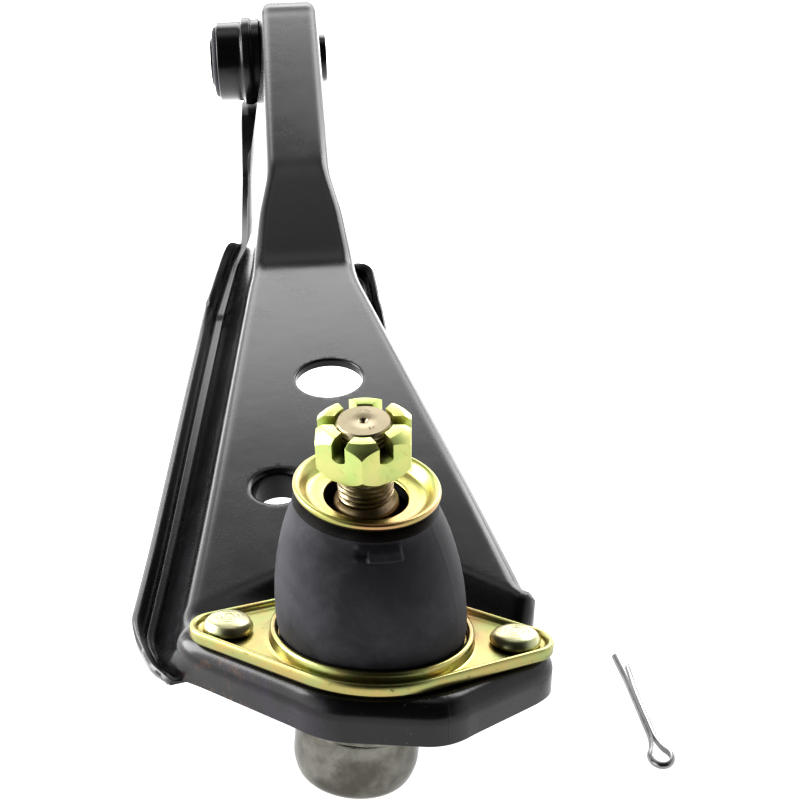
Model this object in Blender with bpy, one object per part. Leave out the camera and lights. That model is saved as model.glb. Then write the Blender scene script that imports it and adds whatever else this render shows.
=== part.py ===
"""Front lower control arm: a pressed steel arm with a rubber pivot bush at one end and a riveted
ball joint at the other.

Frame: metres, +Z up. The origin is the middle of the pivot bush and +X runs along the pivot axis.
The arm reaches towards -Y, and the ball joint is at its far end, a little below the pivot.
"""

import math

import bmesh
import bpy
import numpy as np
from mathutils import Matrix, Vector

for old in list(bpy.data.objects):
    bpy.data.objects.remove(old, do_unlink=True)

# ---------------------------------------------------------------- driving dimensions
fitGap = 0.0003  # clearance between pieces that touch on the real part

armLength = 0.3935  # pivot axis to ball centre, along Y
ballOffset = 0.0115  # ball centre from the middle of the bush, along X
ballDrop = 0.038  # ball centre below the pivot axis
sheet = 0.003  # thickness of the pressing

boltBore = 0.0066  # pivot sleeve: bore, outer radius and where its two ends are
sleeveRadius = 0.0118
sleeveLeft = 0.0402
sleeveRight = 0.0178
shellRadius = 0.0195  # pressed-in steel shell of the bush
shellWall = 0.0018
shoulderRadius = 0.0216  # the shell's shoulder, which stops against the pressing
shoulderWidth = 0.0090
shellReach = 0.0124  # plain shell that stands out beyond the shoulder
lipReach = 0.0026  # rubber that stands out beyond the shell

eyeHalfWidth = 0.0140  # half the width of the pressing around the bush
eyeRadius = 0.0280
noseHalfWidth = 0.0520
noseReach = 0.0300  # ball centre to the front edge of the nose
noseRound = 0.0068  # reach over which the nose's front corners are rounded
noseFlat = 0.0152  # half the width of the flat front of the nose
noseDepth = 0.0125
webDepth = 0.017  # how deep the side walls are along the wide part
leftLean = 0.0095  # how far the left wall leans out on its way down
leftGutter = 0.0050  # flat bottom of the left flange, before its lip
neckFlange = 0.0128  # reach of the plain flange along the left of the neck
rightFlange = 0.0100  # reach of the short flange at the right of the creases
lipHeight = 0.006
bendRadius = 0.005
lowCrease = (0.2135, -0.0254)  # creases of the web: distance behind the ball centre, and height
highCrease = (0.2605, -0.0026)
webStart = -0.0329  # height of the web beside the ball centre
wideLeft = 0.0225  # half widths where the wide part begins, just ahead of the low crease
wideRight = 0.0262

linkHoleRadius = 0.0122
linkHoleAlong = 0.1306  # hole centre from the ball centre, along Y
linkHoleAcross = -0.0050
rodHoleRadius = 0.0078
rodHoleAlong = 0.0720
rodHoleAcross = -0.0236
rodHoleRim = 0.005

plateTurn = math.radians(-6.0)  # the ball joint pad: turned on Z, then leaning on Y and X
padLean = math.radians(3.5)
padTilt = math.radians(-16.9)
padHeight = 0.0044  # top of the pad above the ball centre, square to the pad
plateThick = 0.0020
plateHalfLength = 0.0485
plateHalfWidth = 0.0298
plateTipRadius = 0.0080
plateLip = 0.0018  # lip height above the plate's floor
plateLipWall = 0.0018
collarRadius = 0.0272
collarHeight = 0.0036
collarWall = 0.0018
rivetSpacing = 2 * (plateHalfLength - 0.0103)
rivetHead = 0.0069
rivetShank = 0.0045
rivetDome = 0.0036
rivetFormed = 0.0055  # radius of the formed head under the pressing

housingRadius = 0.0170
housingWall = 0.0022
housingDepth = 0.0310  # ball centre down to the closed bottom
housingRound = 0.0060
flangeRadius = 0.0215  # the housing's flange, which rests on the plate
flangeHeight = 0.0018
ballRadius = 0.0112
linerWall = 0.0010
ballSwing = math.radians(25)  # how far the stud may lean from the pad's own axis
neckRadius = 0.0060  # stud beside the ball, thread, collar, and length above the ball centre
studRadius = 0.0069
studCollar = 0.0082
studTop = 0.0782
threadStart = 0.0570
pinHoleRadius = 0.0017
cupRadius = 0.0184
cupHoleRadius = 0.0104
cupHeight = 0.0548  # the cup's hole above the ball centre, along the stud
cupDish = 0.0030
cupSheet = 0.0012
bootRadius = 0.0250
bootWall = 0.0026
nutAcross = 0.0226  # castle nut: across flats, height, slots
nutHeight = 0.0110
slotWidth = 0.0036
slotDepth = 0.0056
pinWire = 0.0008  # radius of the cotter pin's wire
pinLoop = 0.0034
pinLength = 0.0400
pinFloor = -0.0723  # height of the ground that the pin lies on

# ---------------------------------------------------------------- materials


def finish(name, colour, roughness, metallic):
    material = bpy.data.materials.new(name)
    material.use_nodes = True
    shader = material.node_tree.nodes["Principled BSDF"]
    shader.inputs["Base Color"].default_value = (*colour, 1.0)
    shader.inputs["Roughness"].default_value = roughness
    shader.inputs["Metallic"].default_value = metallic
    return material


blackPaint = ((0.02, 0.02, 0.022), 0.3, 0.0)  # colour, roughness, metallic
yellowZinc = ((0.72, 0.62, 0.32), 0.35, 1.0)
brightZinc = ((0.75, 0.75, 0.76), 0.3, 1.0)
bareSteel = ((0.45, 0.42, 0.38), 0.4, 1.0)
darkRubber = ((0.05, 0.05, 0.055), 0.8, 0.0)
sinteredGrey = ((0.25, 0.25, 0.26), 0.5, 1.0)
paleNylon = ((0.75, 0.73, 0.66), 0.5, 0.0)

# ---------------------------------------------------------------- helpers


def addObject(name, mesh, look, parent=None, place=(0, 0, 0), turn=(0, 0, 0)):
    obj = bpy.data.objects.new(name, mesh)
    bpy.context.scene.collection.objects.link(obj)
    obj.parent = parent
    obj.location = place
    obj.rotation_euler = turn
    if look is not None and not mesh.materials:
        mesh.materials.append(finish(name, *look))
    return obj


def meshFrom(bm, name, sharpAngle=35):
    bmesh.ops.remove_doubles(bm, verts=bm.verts, dist=1e-6)
    bmesh.ops.recalc_face_normals(bm, faces=bm.faces)
    mesh = bpy.data.meshes.new(name)
    bm.to_mesh(mesh)
    bm.free()
    mesh.shade_smooth()
    mesh.set_sharp_from_angle(angle=math.radians(sharpAngle))
    return mesh


def turned(name, profile, steps=40):
    """A turned solid about Z from (radius, height) points, which close on themselves or on the axis."""
    bm = bmesh.new()
    points = [bm.verts.new((r, 0, z)) for r, z in profile]
    edges = [bm.edges.new(pair) for pair in zip(points, points[1:])]
    if profile[0][0] > 0:
        edges.append(bm.edges.new((points[-1], points[0])))
    bmesh.ops.spin(
        bm, geom=points + edges, cent=(0, 0, 0), axis=(0, 0, 1), angle=2 * math.pi, steps=steps, use_merge=True
    )
    return meshFrom(bm, name)


def arc(centre, radius, start, end, count):
    """Points on a circle in the (radius, height) plane, from start to end in degrees."""
    angles = np.radians(np.linspace(start, end, count))
    return [(centre[0] + radius * math.cos(a), centre[1] + radius * math.sin(a)) for a in angles]


def prism(name, outline, low, high):
    """A closed outline of (x, y) points, extruded from low to high."""
    bm = bmesh.new()
    face = bm.faces.new([bm.verts.new((x, y, low)) for x, y in outline])
    raised = bmesh.ops.extrude_face_region(bm, geom=[face])
    lifted = [v for v in raised["geom"] if isinstance(v, bmesh.types.BMVert)]
    bmesh.ops.translate(bm, vec=(0, 0, high - low), verts=lifted)
    return meshFrom(bm, name)


def helper(name, mesh, parent=None, place=(0, 0, 0), turn=(0, 0, 0)):
    obj = addObject(name, mesh, None, parent, place, turn)
    obj.hide_render = True
    obj.display_type = "WIRE"
    return obj


def boolean(obj, other, operation="DIFFERENCE"):
    modifier = obj.modifiers.new(operation.title() + " " + other.name, "BOOLEAN")
    modifier.operation = operation
    modifier.object = other


def circleOutline(radius, steps):
    angles = np.arange(steps) * 2 * math.pi / steps
    return [(radius * math.cos(a), radius * math.sin(a)) for a in angles]


def plateOutline(inset, steps=7):
    """The hull of a large circle in the middle and a small one at each tip, all drawn in by the inset."""
    tip = plateHalfLength - plateTipRadius
    lean = math.asin((plateHalfWidth - plateTipRadius) / tip)
    outline = []
    for centre, radius, middle, half in (
        (tip, plateTipRadius, 0, math.pi / 2 - lean),
        (0, plateHalfWidth, math.pi / 2, lean),
        (-tip, plateTipRadius, math.pi, math.pi / 2 - lean),
        (0, plateHalfWidth, math.pi * 1.5, lean),
    ):
        for angle in np.linspace(middle - half, middle + half, steps):
            outline.append((centre + (radius - inset) * math.cos(angle), (radius - inset) * math.sin(angle)))
    return outline


# ---------------------------------------------------------------- frames of the two ends

ballCentre = Vector((ballOffset, -armLength, -ballDrop))
padTurn = Matrix.Rotation(plateTurn, 3, "Z") @ Matrix.Rotation(padLean, 3, "Y") @ Matrix.Rotation(padTilt, 3, "X")
padNormal = padTurn @ Vector((0, 0, 1))

pad = bpy.data.objects.new("ball_joint_pad", None)
pad.location = ballCentre
pad.rotation_euler = padTurn.to_euler()
bpy.context.scene.collection.objects.link(pad)

stud = bpy.data.objects.new("stud_axis", None)
stud.location = ballCentre
stud.rotation_euler = (0, 0, plateTurn)
bpy.context.scene.collection.objects.link(stud)

acrossBush = (0, math.radians(90), 0)  # turns a piece made about Z onto the pivot axis, its top towards +X

# ---------------------------------------------------------------- the pressing

padTop = ballCentre + padNormal * padHeight
noseMiddle = ballOffset
frontMiddle = ballOffset + 0.0022
noseFront = -armLength - noseReach
noseShoulder = noseFront + 0.0275
lowY = lowCrease[0] - armLength
highY = highCrease[0] - armLength
wideY = lowY - 0.012
tangentY = -math.sin(math.radians(11.5)) * eyeRadius  # where the web meets the round of the eye


def eased(value):
    value = np.clip(value, 0, 1)
    return value * value * (3 - 2 * value)


def evened(y, places, values, window=0.006):
    """Straight runs through the points, with each corner eased over the window."""
    return sum(np.interp(y + window * k, places, values) for k in (-1, -0.5, 0, 0.5, 1)) / 5


def bendLine(y, side):
    """Plan position of the bend between web and side wall, where side is -1 at the left and 1 at the right."""
    wide = np.where(side < 0, wideLeft, wideRight)
    places = [noseFront, noseShoulder, -armLength + 0.004, wideY, highY - 0.018, highY, 0]
    nose = [noseFlat, noseHalfWidth - 0.001, noseHalfWidth, 0, 0.0035, -0.0003, 0]
    middle = [frontMiddle, noseMiddle, noseMiddle, 0, 0, 0, 0]
    widths = [0, 0, 0, 0, eyeHalfWidth, eyeHalfWidth, eyeHalfWidth]
    across = evened(y, places, middle) + side * (evened(y, places, nose) + evened(y, places, widths))
    across = across + side * wide * evened(y, places, [0, 0, 0, 1, 0, 0, 0])
    end = np.clip((y - eyeRadius + bendRadius) / bendRadius, 0, 1)  # rounds the far corners of the eye
    return across - side * bendRadius * (1 - np.sqrt(1 - end**2))


def topHeight(x, y):
    """Height of the web's top: three straight runs, then round the bush, with the tilted pad let in."""
    slope = (lowCrease[1] - webStart) / lowCrease[0]
    places = [noseFront, -armLength, lowY, highY, tangentY]
    crown = math.sqrt(eyeRadius**2 - tangentY**2)
    heights = [webStart - slope * noseReach, webStart, lowCrease[1], highCrease[1], crown]
    web = evened(y, places, heights, 0.007)
    web = np.where(y > tangentY, np.sqrt(np.maximum(eyeRadius**2 - y**2, 0)), web)
    plane = padTop.z - ((x - padTop.x) * padNormal.x + (y - padTop.y) * padNormal.y) / padNormal.z
    across = (x - padTop.x) * math.cos(plateTurn) + (y - padTop.y) * math.sin(plateTurn)
    along = (y - padTop.y) * math.cos(plateTurn) - (x - padTop.x) * math.sin(plateTurn)
    slant = math.hypot(1 / plateHalfLength, 1 / plateHalfWidth)
    beyond = (np.abs(across) / plateHalfLength + along / plateHalfWidth - 1) / slant
    inPad = 1 - eased((beyond - 0.003) / 0.011)
    return web + (plane - web) * inPad


def webNormal(x, y):
    """Normal of the web's top, taken from its slopes; round the bush it points away from the pivot axis."""
    step = 0.0004
    slopeX = (topHeight(x + step, y) - topHeight(x - step, y)) / (2 * step)
    low = np.minimum(y, tangentY - step)
    slopeY = (topHeight(x, low + step) - topHeight(x, low - step)) / (2 * step)
    flat = np.stack([-slopeX, -slopeY, 1 + 0 * slopeX], -1)
    flat /= np.linalg.norm(flat, axis=-1)[..., None]
    radial = np.stack([0 * x, y, topHeight(x, y)], -1) / eyeRadius
    return np.where((y > tangentY)[..., None], radial, flat)


def wallSection(y, side, wallTop):
    """Rings (out, down) below the bend: the wall, then the gutter and lip where there are any."""
    wide = y < wideY
    depth = np.interp(y, [noseShoulder, -armLength + 0.016], [noseDepth, webDepth]) - bendRadius
    foot = np.interp(y, [wideY, -0.060, -0.020], [lowCrease[1] - webDepth, -0.036, -shoulderRadius - 0.0012])
    height = np.where(wide, depth, wallTop - foot)
    left = side < 0
    leftOut = np.interp(y, [wideY, highY + 0.012], [leftLean + leftGutter, neckFlange])
    leftWall = np.interp(y, [highY, highY + 0.012, -0.048, -0.028], [leftLean, leftLean - 0.0005, leftLean - 0.0005, 0.0002])
    rightOut = np.interp(y, [highY - 0.180, lowY - 0.012, highY - 0.010, highY + 0.012], [0, rightFlange * 0.45, rightFlange, 0])
    reach = np.where(left, leftOut, rightOut)
    lean = np.where(left, leftWall, rightOut * 0.3)
    ends = np.where(left, 1 - eased((y - 0.004) / 0.014), eased(rightOut / 0.0025))
    flanged = eased((y - noseShoulder - 0.001) / 0.022) * ends
    lip = flanged * (1 - eased((y - highY + 0.016) / 0.018)) * lipHeight * eased(reach / 0.006)
    rings = []
    baseDrop = np.interp(y, [-0.060, -0.035], [0.86, 0.965])
    for share, drop, plainDrop in ((0.5, 0.5, 0.30), (0.93, baseDrop, 0.55)):
        rings.append((lean * share * flanged, height * (plainDrop + (drop - plainDrop) * flanged)))
    spread = np.where(y > -0.050, 0.10, 1.0) * (1 - flanged)
    for share, gap, lift in ((0.20, 0.30, 0.0), (0.60, 0.18, 0.0), (0.90, 0.09, 0.25), (1.0, 0.0, 1.0)):
        out = (lean + (reach - lean) * share) * flanged
        rings.append((out, height * (1 - gap * spread) - lip * lift))
    return rings


def turnedNose(x, y):
    """The nose lies turned with the plate: its right side is further forward, fading out behind the pad."""
    return y + math.tan(plateTurn) * (x - ballOffset) * (1 - eased((y + armLength + 0.004) / 0.080))


def roundedNose(x, y):
    """The outline with its front corners rounded, by averaging along it over a short reach."""
    along = np.concatenate([[0], np.cumsum(np.hypot(np.diff(x), np.diff(y)))])
    around = along[-1] + math.hypot(x[0] - x[-1], y[0] - y[-1])
    window = noseRound * (1 - eased((y - noseFront - 0.010) / 0.014))
    places = [along + window * k for k in np.linspace(-1, 1, 9)]
    return [np.mean([np.interp(place, along, v, period=around) for place in places], 0) for v in (x, y)]


def pressingMesh(name, stations, across, bendSteps=3):
    """The pressing as one sheet: rows of points over the web, rings carried out and down from its edge,
    and the same again one sheet thickness further in."""
    share = np.linspace(0, 1, across)[None, :]
    y = stations[:, None] + 0 * share
    x = bendLine(y, -1) * (1 - share) + bendLine(y, 1) * share
    side = np.where(share + 0 * y < 0.5, -1, 1)
    index = np.arange(x.size).reshape(x.shape)
    loop = np.concatenate([index[::-1, 0], index[0, 1:], index[1:, -1], index[-1, -2:0:-1]])
    edgeSide = side.ravel()[loop]
    edgeX, tableY = roundedNose(x.ravel()[loop], y.ravel()[loop])
    edgeY = turnedNose(edgeX, tableY)
    y = turnedNose(x, y)
    x.ravel()[loop], y.ravel()[loop] = edgeX, edgeY
    alongX = np.roll(edgeX, -1) - np.roll(edgeX, 1)
    alongY = np.roll(edgeY, -1) - np.roll(edgeY, 1)
    length = np.hypot(alongX, alongY)
    out = np.stack([alongY / length, -alongX / length, 0 * length], 1)
    out[loop == index[-1, 0]] = (-0.7, 0.7, 0)
    inset = bendRadius * (1 - (webNormal(edgeX, edgeY) * out).sum(1))
    x.ravel()[loop] -= out[:, 0] * inset
    y.ravel()[loop] -= out[:, 1] * inset
    x[1:-1, 1:-1] = (x[1:-1, :1] * (1 - share) + x[1:-1, -1:] * share)[:, 1:-1]
    rows = np.stack([x, y, topHeight(x, y)], 2).reshape(-1, 3)
    normals = webNormal(x, y).reshape(-1, 3)
    skin, facing = [rows], [normals]
    centre = rows[loop] - bendRadius * normals[loop]
    for turn in np.linspace(0, 1, bendSteps + 1)[1:]:
        leaning = normals[loop] * math.cos(turn * math.pi / 2) + out * math.sin(turn * math.pi / 2)
        leaning /= np.linalg.norm(leaning, axis=1)[:, None]
        skin.append(centre + bendRadius * leaning)
        facing.append(leaning)
    wallTop = skin[-1]
    section = [(0 * edgeY, 0 * edgeY)] + wallSection(tableY, edgeSide, wallTop[:, 2])
    for k in range(1, len(section)):
        before, here, after = section[k - 1], section[k], section[min(k + 1, len(section) - 1)]
        stepOut, stepDown = after[0] - before[0], after[1] - before[1]
        leaning = out * stepDown[:, None] + np.array([0, 0, 1]) * stepOut[:, None]
        facing.append(leaning / np.linalg.norm(leaning, axis=1)[:, None])
        skin.append(wallTop + out * here[0][:, None] - np.array([0, 0, 1]) * here[1][:, None])
    quads = [np.stack([index[:-1, :-1], index[:-1, 1:], index[1:, 1:], index[1:, :-1]], 2).reshape(-1, 4)]
    inner = loop
    for k in range(len(skin) - 1):
        outer = x.size + k * len(loop) + np.arange(len(loop))
        quads.append(np.stack([inner, outer, np.roll(outer, -1), np.roll(inner, -1)], 1))
        inner = outer
    points, quads = np.concatenate(skin), np.concatenate(quads)
    under = points - sheet * np.concatenate(facing)
    total = len(points)
    edge = np.stack([inner, inner + total, np.roll(inner, -1) + total, np.roll(inner, -1)], 1)
    bm = bmesh.new()
    verts = [bm.verts.new(p) for p in np.concatenate([points, under])]
    for quad in np.concatenate([quads, quads[:, ::-1] + total, edge]):
        bm.faces.new([verts[i] for i in quad])
    return meshFrom(bm, name, 40)


stations = np.concatenate(
    [
        [noseFront, noseFront + 0.0040, noseFront + 0.0090, noseFront + 0.0150, noseFront + 0.0215],
        np.linspace(noseShoulder, -armLength + 0.058, 10)[:-1],
        np.linspace(-armLength + 0.058, wideY, 8)[:-1],
        np.linspace(wideY, highY + 0.018, 9)[:-1],
        np.linspace(highY + 0.018, -0.030, 5)[:-1],
        np.linspace(-0.030, tangentY, 4)[:-1],
        eyeRadius * np.sin(np.radians([-8, 8, 24, 40, 53, 64, 73, 81, 90])),
    ]
)
pressing = addObject("arm_pressing", pressingMesh("arm_pressing", stations, 12), blackPaint)

housingOpening = housingRadius + 0.0015
clear = prism("plate_clearance", plateOutline(-0.0004), padHeight + 0.00005, padHeight + 0.010)
boolean(pressing, helper("plate_clearance", clear, pad))
cut = prism("housing_opening", circleOutline(housingOpening, 40), -0.012, 0.012)
boolean(pressing, helper("housing_opening", cut, pad))
for sideName, place in (("left", -rivetSpacing / 2), ("right", rivetSpacing / 2)):
    cut = prism("rivet_hole_" + sideName, circleOutline(rivetShank + fitGap, 20), -0.010, 0.012)
    boolean(pressing, helper("rivet_hole_" + sideName, cut, pad, (place, 0, 0)))
    clear = circleOutline(rivetFormed + fitGap, 24)
    cut = prism("rivet_seat_" + sideName, clear, -0.006, padHeight - sheet - 0.00005)
    boolean(pressing, helper("rivet_seat_" + sideName, cut, pad, (place, 0, 0)))



def onWeb(across, along):
    """The point of the web's top at this distance from the ball centre."""
    x, y = ballOffset + across, along - armLength
    return (x, y, float(topHeight(np.float64(x), np.float64(y))))


linkHole = onWeb(linkHoleAcross, linkHoleAlong)
cut = prism("link_hole", circleOutline(linkHoleRadius, 36), -0.012, 0.012)
boolean(pressing, helper("link_hole", cut, None, linkHole))

rodHole = onWeb(rodHoleAcross, rodHoleAlong)
rim = prism("rod_hole_rim", circleOutline(rodHoleRadius + 0.0025, 28), -sheet - rodHoleRim, -0.0008)
boolean(pressing, helper("rod_hole_rim", rim, None, rodHole), "UNION")
cut = prism("rod_hole", circleOutline(rodHoleRadius, 28), -0.020, 0.012)
boolean(pressing, helper("rod_hole", cut, None, rodHole))

cut = prism("bush_opening", circleOutline(shellRadius + fitGap, 44), -0.030, 0.030)
boolean(pressing, helper("bush_opening", cut, turn=acrossBush))
shoulderStart = eyeHalfWidth + 0.0008 + fitGap
clear = circleOutline(shoulderRadius + fitGap, 44)
cut = prism("shoulder_clearance", clear, -shoulderStart - shoulderWidth - fitGap, -shoulderStart + fitGap)
boolean(pressing, helper("shoulder_clearance", cut, turn=acrossBush))

# ---------------------------------------------------------------- pivot bush

sleeveProfile = [(boltBore, -sleeveLeft), (sleeveRadius, -sleeveLeft), (sleeveRadius, sleeveRight), (boltBore, sleeveRight)]
addObject("pivot_sleeve", turned("pivot_sleeve", sleeveProfile, 32), blackPaint, turn=acrossBush)

shellLeft = shoulderStart + shoulderWidth + shellReach
shellBore = shellRadius - shellWall
shellProfile = [
    (shellBore, -shellLeft),
    (shellRadius - 0.0006, -shellLeft),
    (shellRadius, -shellLeft + 0.0006),
    (shellRadius, -shoulderStart - shoulderWidth),
    (shoulderRadius, -shoulderStart - shoulderWidth),
    (shoulderRadius, -shoulderStart),
    (shellRadius, -shoulderStart),
    (shellRadius, eyeHalfWidth),
    (shellBore, eyeHalfWidth),
]
addObject("bush_shell", turned("bush_shell", shellProfile, 44), blackPaint, turn=acrossBush)

rubberOuter = shellBore - fitGap
rubberInner = sleeveRadius + fitGap
rubberLeft = -shellLeft - lipReach
rubberProfile = [
    (rubberInner, rubberLeft),
    (rubberOuter - 0.0010, rubberLeft),
    (rubberOuter, rubberLeft + 0.0010),
    (rubberOuter, eyeHalfWidth + 0.0005),
    (rubberInner, eyeHalfWidth + 0.0005),
]
addObject("bush_rubber", turned("bush_rubber", rubberProfile, 40), darkRubber, turn=acrossBush)

# ---------------------------------------------------------------- ball joint, square to its pad

plateBottom = padHeight + fitGap
plateFloor = plateBottom + plateThick


plate = addObject("flange_plate", prism("flange_plate", plateOutline(0), plateBottom, plateFloor + plateLip), yellowZinc, pad)
tray = prism("plate_tray", plateOutline(plateLipWall), plateFloor, plateFloor + 0.006)
boolean(plate, helper("plate_tray", tray, pad))
collarProfile = [
    (collarRadius - collarWall, plateFloor - 0.001),
    (collarRadius, plateFloor - 0.001),
    (collarRadius, plateFloor + collarHeight - 0.0006),
    (collarRadius - 0.0006, plateFloor + collarHeight),
    (collarRadius - collarWall + 0.0006, plateFloor + collarHeight),
    (collarRadius - collarWall, plateFloor + collarHeight - 0.0006),
]
boolean(plate, helper("plate_collar", turned("plate_collar", collarProfile, 48), pad), "UNION")
cut = prism("plate_opening", circleOutline(housingRadius + fitGap, 48), 0, 0.012)
boolean(plate, helper("plate_opening", cut, pad))

rivetFoot = padHeight - sheet - fitGap
for sideName, place in (("left", -rivetSpacing / 2), ("right", rivetSpacing / 2)):
    cut = prism("plate_hole_" + sideName, circleOutline(rivetShank + fitGap, 20), 0, 0.012)
    boolean(plate, helper("plate_hole_" + sideName, cut, pad, (place, 0, 0)))
    seat = plateFloor + fitGap
    rivetProfile = [(0, rivetFoot - 0.0024), (rivetFormed * 0.8, rivetFoot - 0.0020)]
    rivetProfile += [(rivetFormed, rivetFoot - 0.0008), (rivetFormed, rivetFoot), (rivetShank, rivetFoot)]
    rivetProfile += [(rivetShank, seat), (rivetHead, seat)]
    for angle in np.radians([8, 30, 52, 72]):
        rivetProfile.append((rivetHead * math.cos(angle), seat + rivetDome * math.sin(angle)))
    rivetProfile.append((0, seat + rivetDome))
    addObject("rivet_" + sideName, turned("rivet_" + sideName, rivetProfile, 24), yellowZinc, pad, (place, 0, 0))

flangeBottom = plateFloor + fitGap
flangeTop = flangeBottom + flangeHeight
bore = housingRadius - housingWall
housingFloor = -housingDepth + 0.0025
corner = arc((housingRadius - housingRound, -housingDepth + housingRound), housingRound, -90, 0, 6)
housingProfile = [(0, -housingDepth)] + corner
housingProfile += [(housingRadius, flangeBottom), (flangeRadius, flangeBottom), (flangeRadius, flangeTop)]
housingProfile += [(bore, flangeTop), (bore, housingFloor + 0.003), (bore - 0.003, housingFloor), (0, housingFloor)]
addObject("ball_housing", turned("ball_housing", housingProfile, 36), bareSteel, pad)

linerOuter = ballRadius + fitGap + linerWall
seatSphere = linerOuter + fitGap
seatOuter = bore - fitGap
linerTop = math.asin(0.0015 / linerOuter)  # angles of the liner's two edges, from its equator
linerFoot = math.asin(-0.0080 / linerOuter)
upperEnd = linerTop + ballSwing + math.radians(2)
lowerEnd = linerFoot - ballSwing - math.radians(2)

linerProfile = arc((0, 0), linerOuter, math.degrees(linerFoot), math.degrees(linerTop), 6)
linerProfile += arc((0, 0), linerOuter - linerWall, math.degrees(linerTop), math.degrees(linerFoot), 6)
addObject("ball_liner", turned("ball_liner", linerProfile, 30), paleNylon, pad)

lowerProfile = arc((0, 0), seatSphere, math.degrees(lowerEnd), -1, 8) + [(seatOuter, -0.0003)]
lowerProfile += [(seatOuter, -0.0148), (seatSphere * math.cos(lowerEnd), -0.0148)]
addObject("lower_seat", turned("lower_seat", lowerProfile, 36), sinteredGrey, pad)

upperProfile = arc((0, 0), seatSphere, 1, math.degrees(upperEnd), 6)
upperProfile += [(seatOuter, seatSphere * math.sin(upperEnd)), (seatOuter, 0.0003)]
addObject("upper_seat", turned("upper_seat", upperProfile, 36), sinteredGrey, pad)

closureFoot = seatSphere * math.sin(upperEnd) + fitGap
closureProfile = [(seatOuter - 0.0024, closureFoot), (seatOuter, closureFoot)]
closureProfile += [(seatOuter, flangeTop), (seatOuter - 0.0018, flangeTop)]
addObject("closure_ring", turned("closure_ring", closureProfile, 36), bareSteel, pad)


def tube(name, path, radius, sides=8):
    """A closed tube along the path, its section kept square to it."""
    path = np.array(path)
    along = np.gradient(path, axis=0)
    along /= np.linalg.norm(along, axis=1)[:, None]
    first = np.cross(along, [0.3, 0.1, 1.0])
    first /= np.linalg.norm(first, axis=1)[:, None]
    second = np.cross(along, first)
    angles = np.arange(sides) * 2 * math.pi / sides
    ring = first[:, None] * np.cos(angles)[None, :, None] + second[:, None] * np.sin(angles)[None, :, None]
    points = (path[:, None] + radius * ring).reshape(-1, 3)
    index = np.arange(len(points)).reshape(len(path), sides)
    turnedOn = np.roll(index, -1, axis=1)
    quads = np.stack([index[:-1], turnedOn[:-1], turnedOn[1:], index[1:]], 2).reshape(-1, 4).tolist()
    bm = bmesh.new()
    verts = [bm.verts.new(p) for p in points]
    for quad in quads + [index[0].tolist(), index[-1].tolist()]:
        bm.faces.new([verts[i] for i in quad])
    return meshFrom(bm, name, 50)


springWire = 0.0012
springFoot = housingFloor + springWire + fitGap
springHead = -0.0148 - springWire - fitGap
coil = []
for k in range(46):
    angle = k / 12 * 2 * math.pi
    coil.append((0.0098 * math.cos(angle), 0.0098 * math.sin(angle), springFoot + (springHead - springFoot) * k / 45))
addObject("preload_spring", tube("preload_spring", coil, springWire), bareSteel, pad)

ringInner = flangeRadius + fitGap
ringOuter = collarRadius - collarWall - fitGap
ringProfile = [(ringInner, flangeBottom), (ringOuter, flangeBottom), (ringOuter, flangeTop), (ringInner, flangeTop)]
addObject("boot_base_ring", turned("boot_base_ring", ringProfile, 40), yellowZinc, pad)

# ---------------------------------------------------------------- stud, nut, cup and boot, along the stud

neckAngle = math.degrees(math.acos(neckRadius / ballRadius))
studProfile = [(0, -ballRadius * math.sin(math.radians(58)))] + arc((0, 0), ballRadius, -58, neckAngle, 10)
studProfile += [(neckRadius, 0.0150), (studCollar, 0.0260), (studCollar, threadStart - 0.0016)]
studProfile += [(studRadius, threadStart), (studRadius, studTop - 0.0010), (studRadius - 0.0010, studTop), (0, studTop)]
ballStud = addObject("ball_stud", turned("ball_stud", studProfile, 36), yellowZinc, stud)
cut = prism("pin_hole", circleOutline(pinHoleRadius, 16), -0.012, 0.012)
boolean(ballStud, helper("pin_hole", cut, stud, (0, 0, studTop - slotDepth / 2), (0, math.radians(90), 0)))

nutFoot = studTop - nutHeight
corners = [(math.radians(60 * k + 30), nutAcross / math.sqrt(3)) for k in range(6)]
hexagon = [(radius * math.cos(angle), radius * math.sin(angle)) for angle, radius in corners]
nut = addObject("castle_nut", prism("castle_nut", hexagon, nutFoot, studTop + 0.0001), yellowZinc, stud)
nutRound = nutAcross / math.sqrt(3)
chamferProfile = [(0, nutFoot - 0.001), (nutAcross / 2, nutFoot - 0.001), (nutRound + 0.0003, nutFoot + 0.0014)]
chamferProfile += [(nutRound + 0.0003, studTop - 0.0014), (nutAcross / 2, studTop + 0.001), (0, studTop + 0.001)]
boolean(nut, helper("nut_chamfer", turned("nut_chamfer", chamferProfile, 48), stud), "INTERSECT")
cut = prism("nut_bore", circleOutline(studRadius + fitGap, 36), nutFoot - 0.005, studTop + 0.005)
boolean(nut, helper("nut_bore", cut, stud))
for k in range(3):
    long = nutAcross
    slot = [(-long, -slotWidth / 2), (long, -slotWidth / 2), (long, slotWidth / 2), (-long, slotWidth / 2)]
    cut = prism("nut_slot_%d" % k, slot, studTop - slotDepth, studTop + 0.005)
    boolean(nut, helper("nut_slot_%d" % k, cut, stud, (0, 0, 0), (0, 0, math.radians(60 * k))))

cupPlace = bpy.data.objects.new("cup_place", None)
cupPlace.parent = stud
cupPlace.location = (0.0, 0.0018, cupHeight)
cupPlace.rotation_euler = (math.radians(-4.5), math.radians(5.5), 0)
bpy.context.scene.collection.objects.link(cupPlace)
cupProfile = [
    (cupHoleRadius, -cupSheet),
    (cupRadius - 0.0050, -cupSheet),
    (cupRadius - 0.0006, cupDish - cupSheet),
    (cupRadius, cupDish),
    (cupRadius - 0.0014, cupDish + 0.0004),
    (cupRadius - 0.0056, 0),
    (cupHoleRadius, 0),
]
addObject("boot_cup", turned("boot_cup", cupProfile, 48), yellowZinc, cupPlace)

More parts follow.
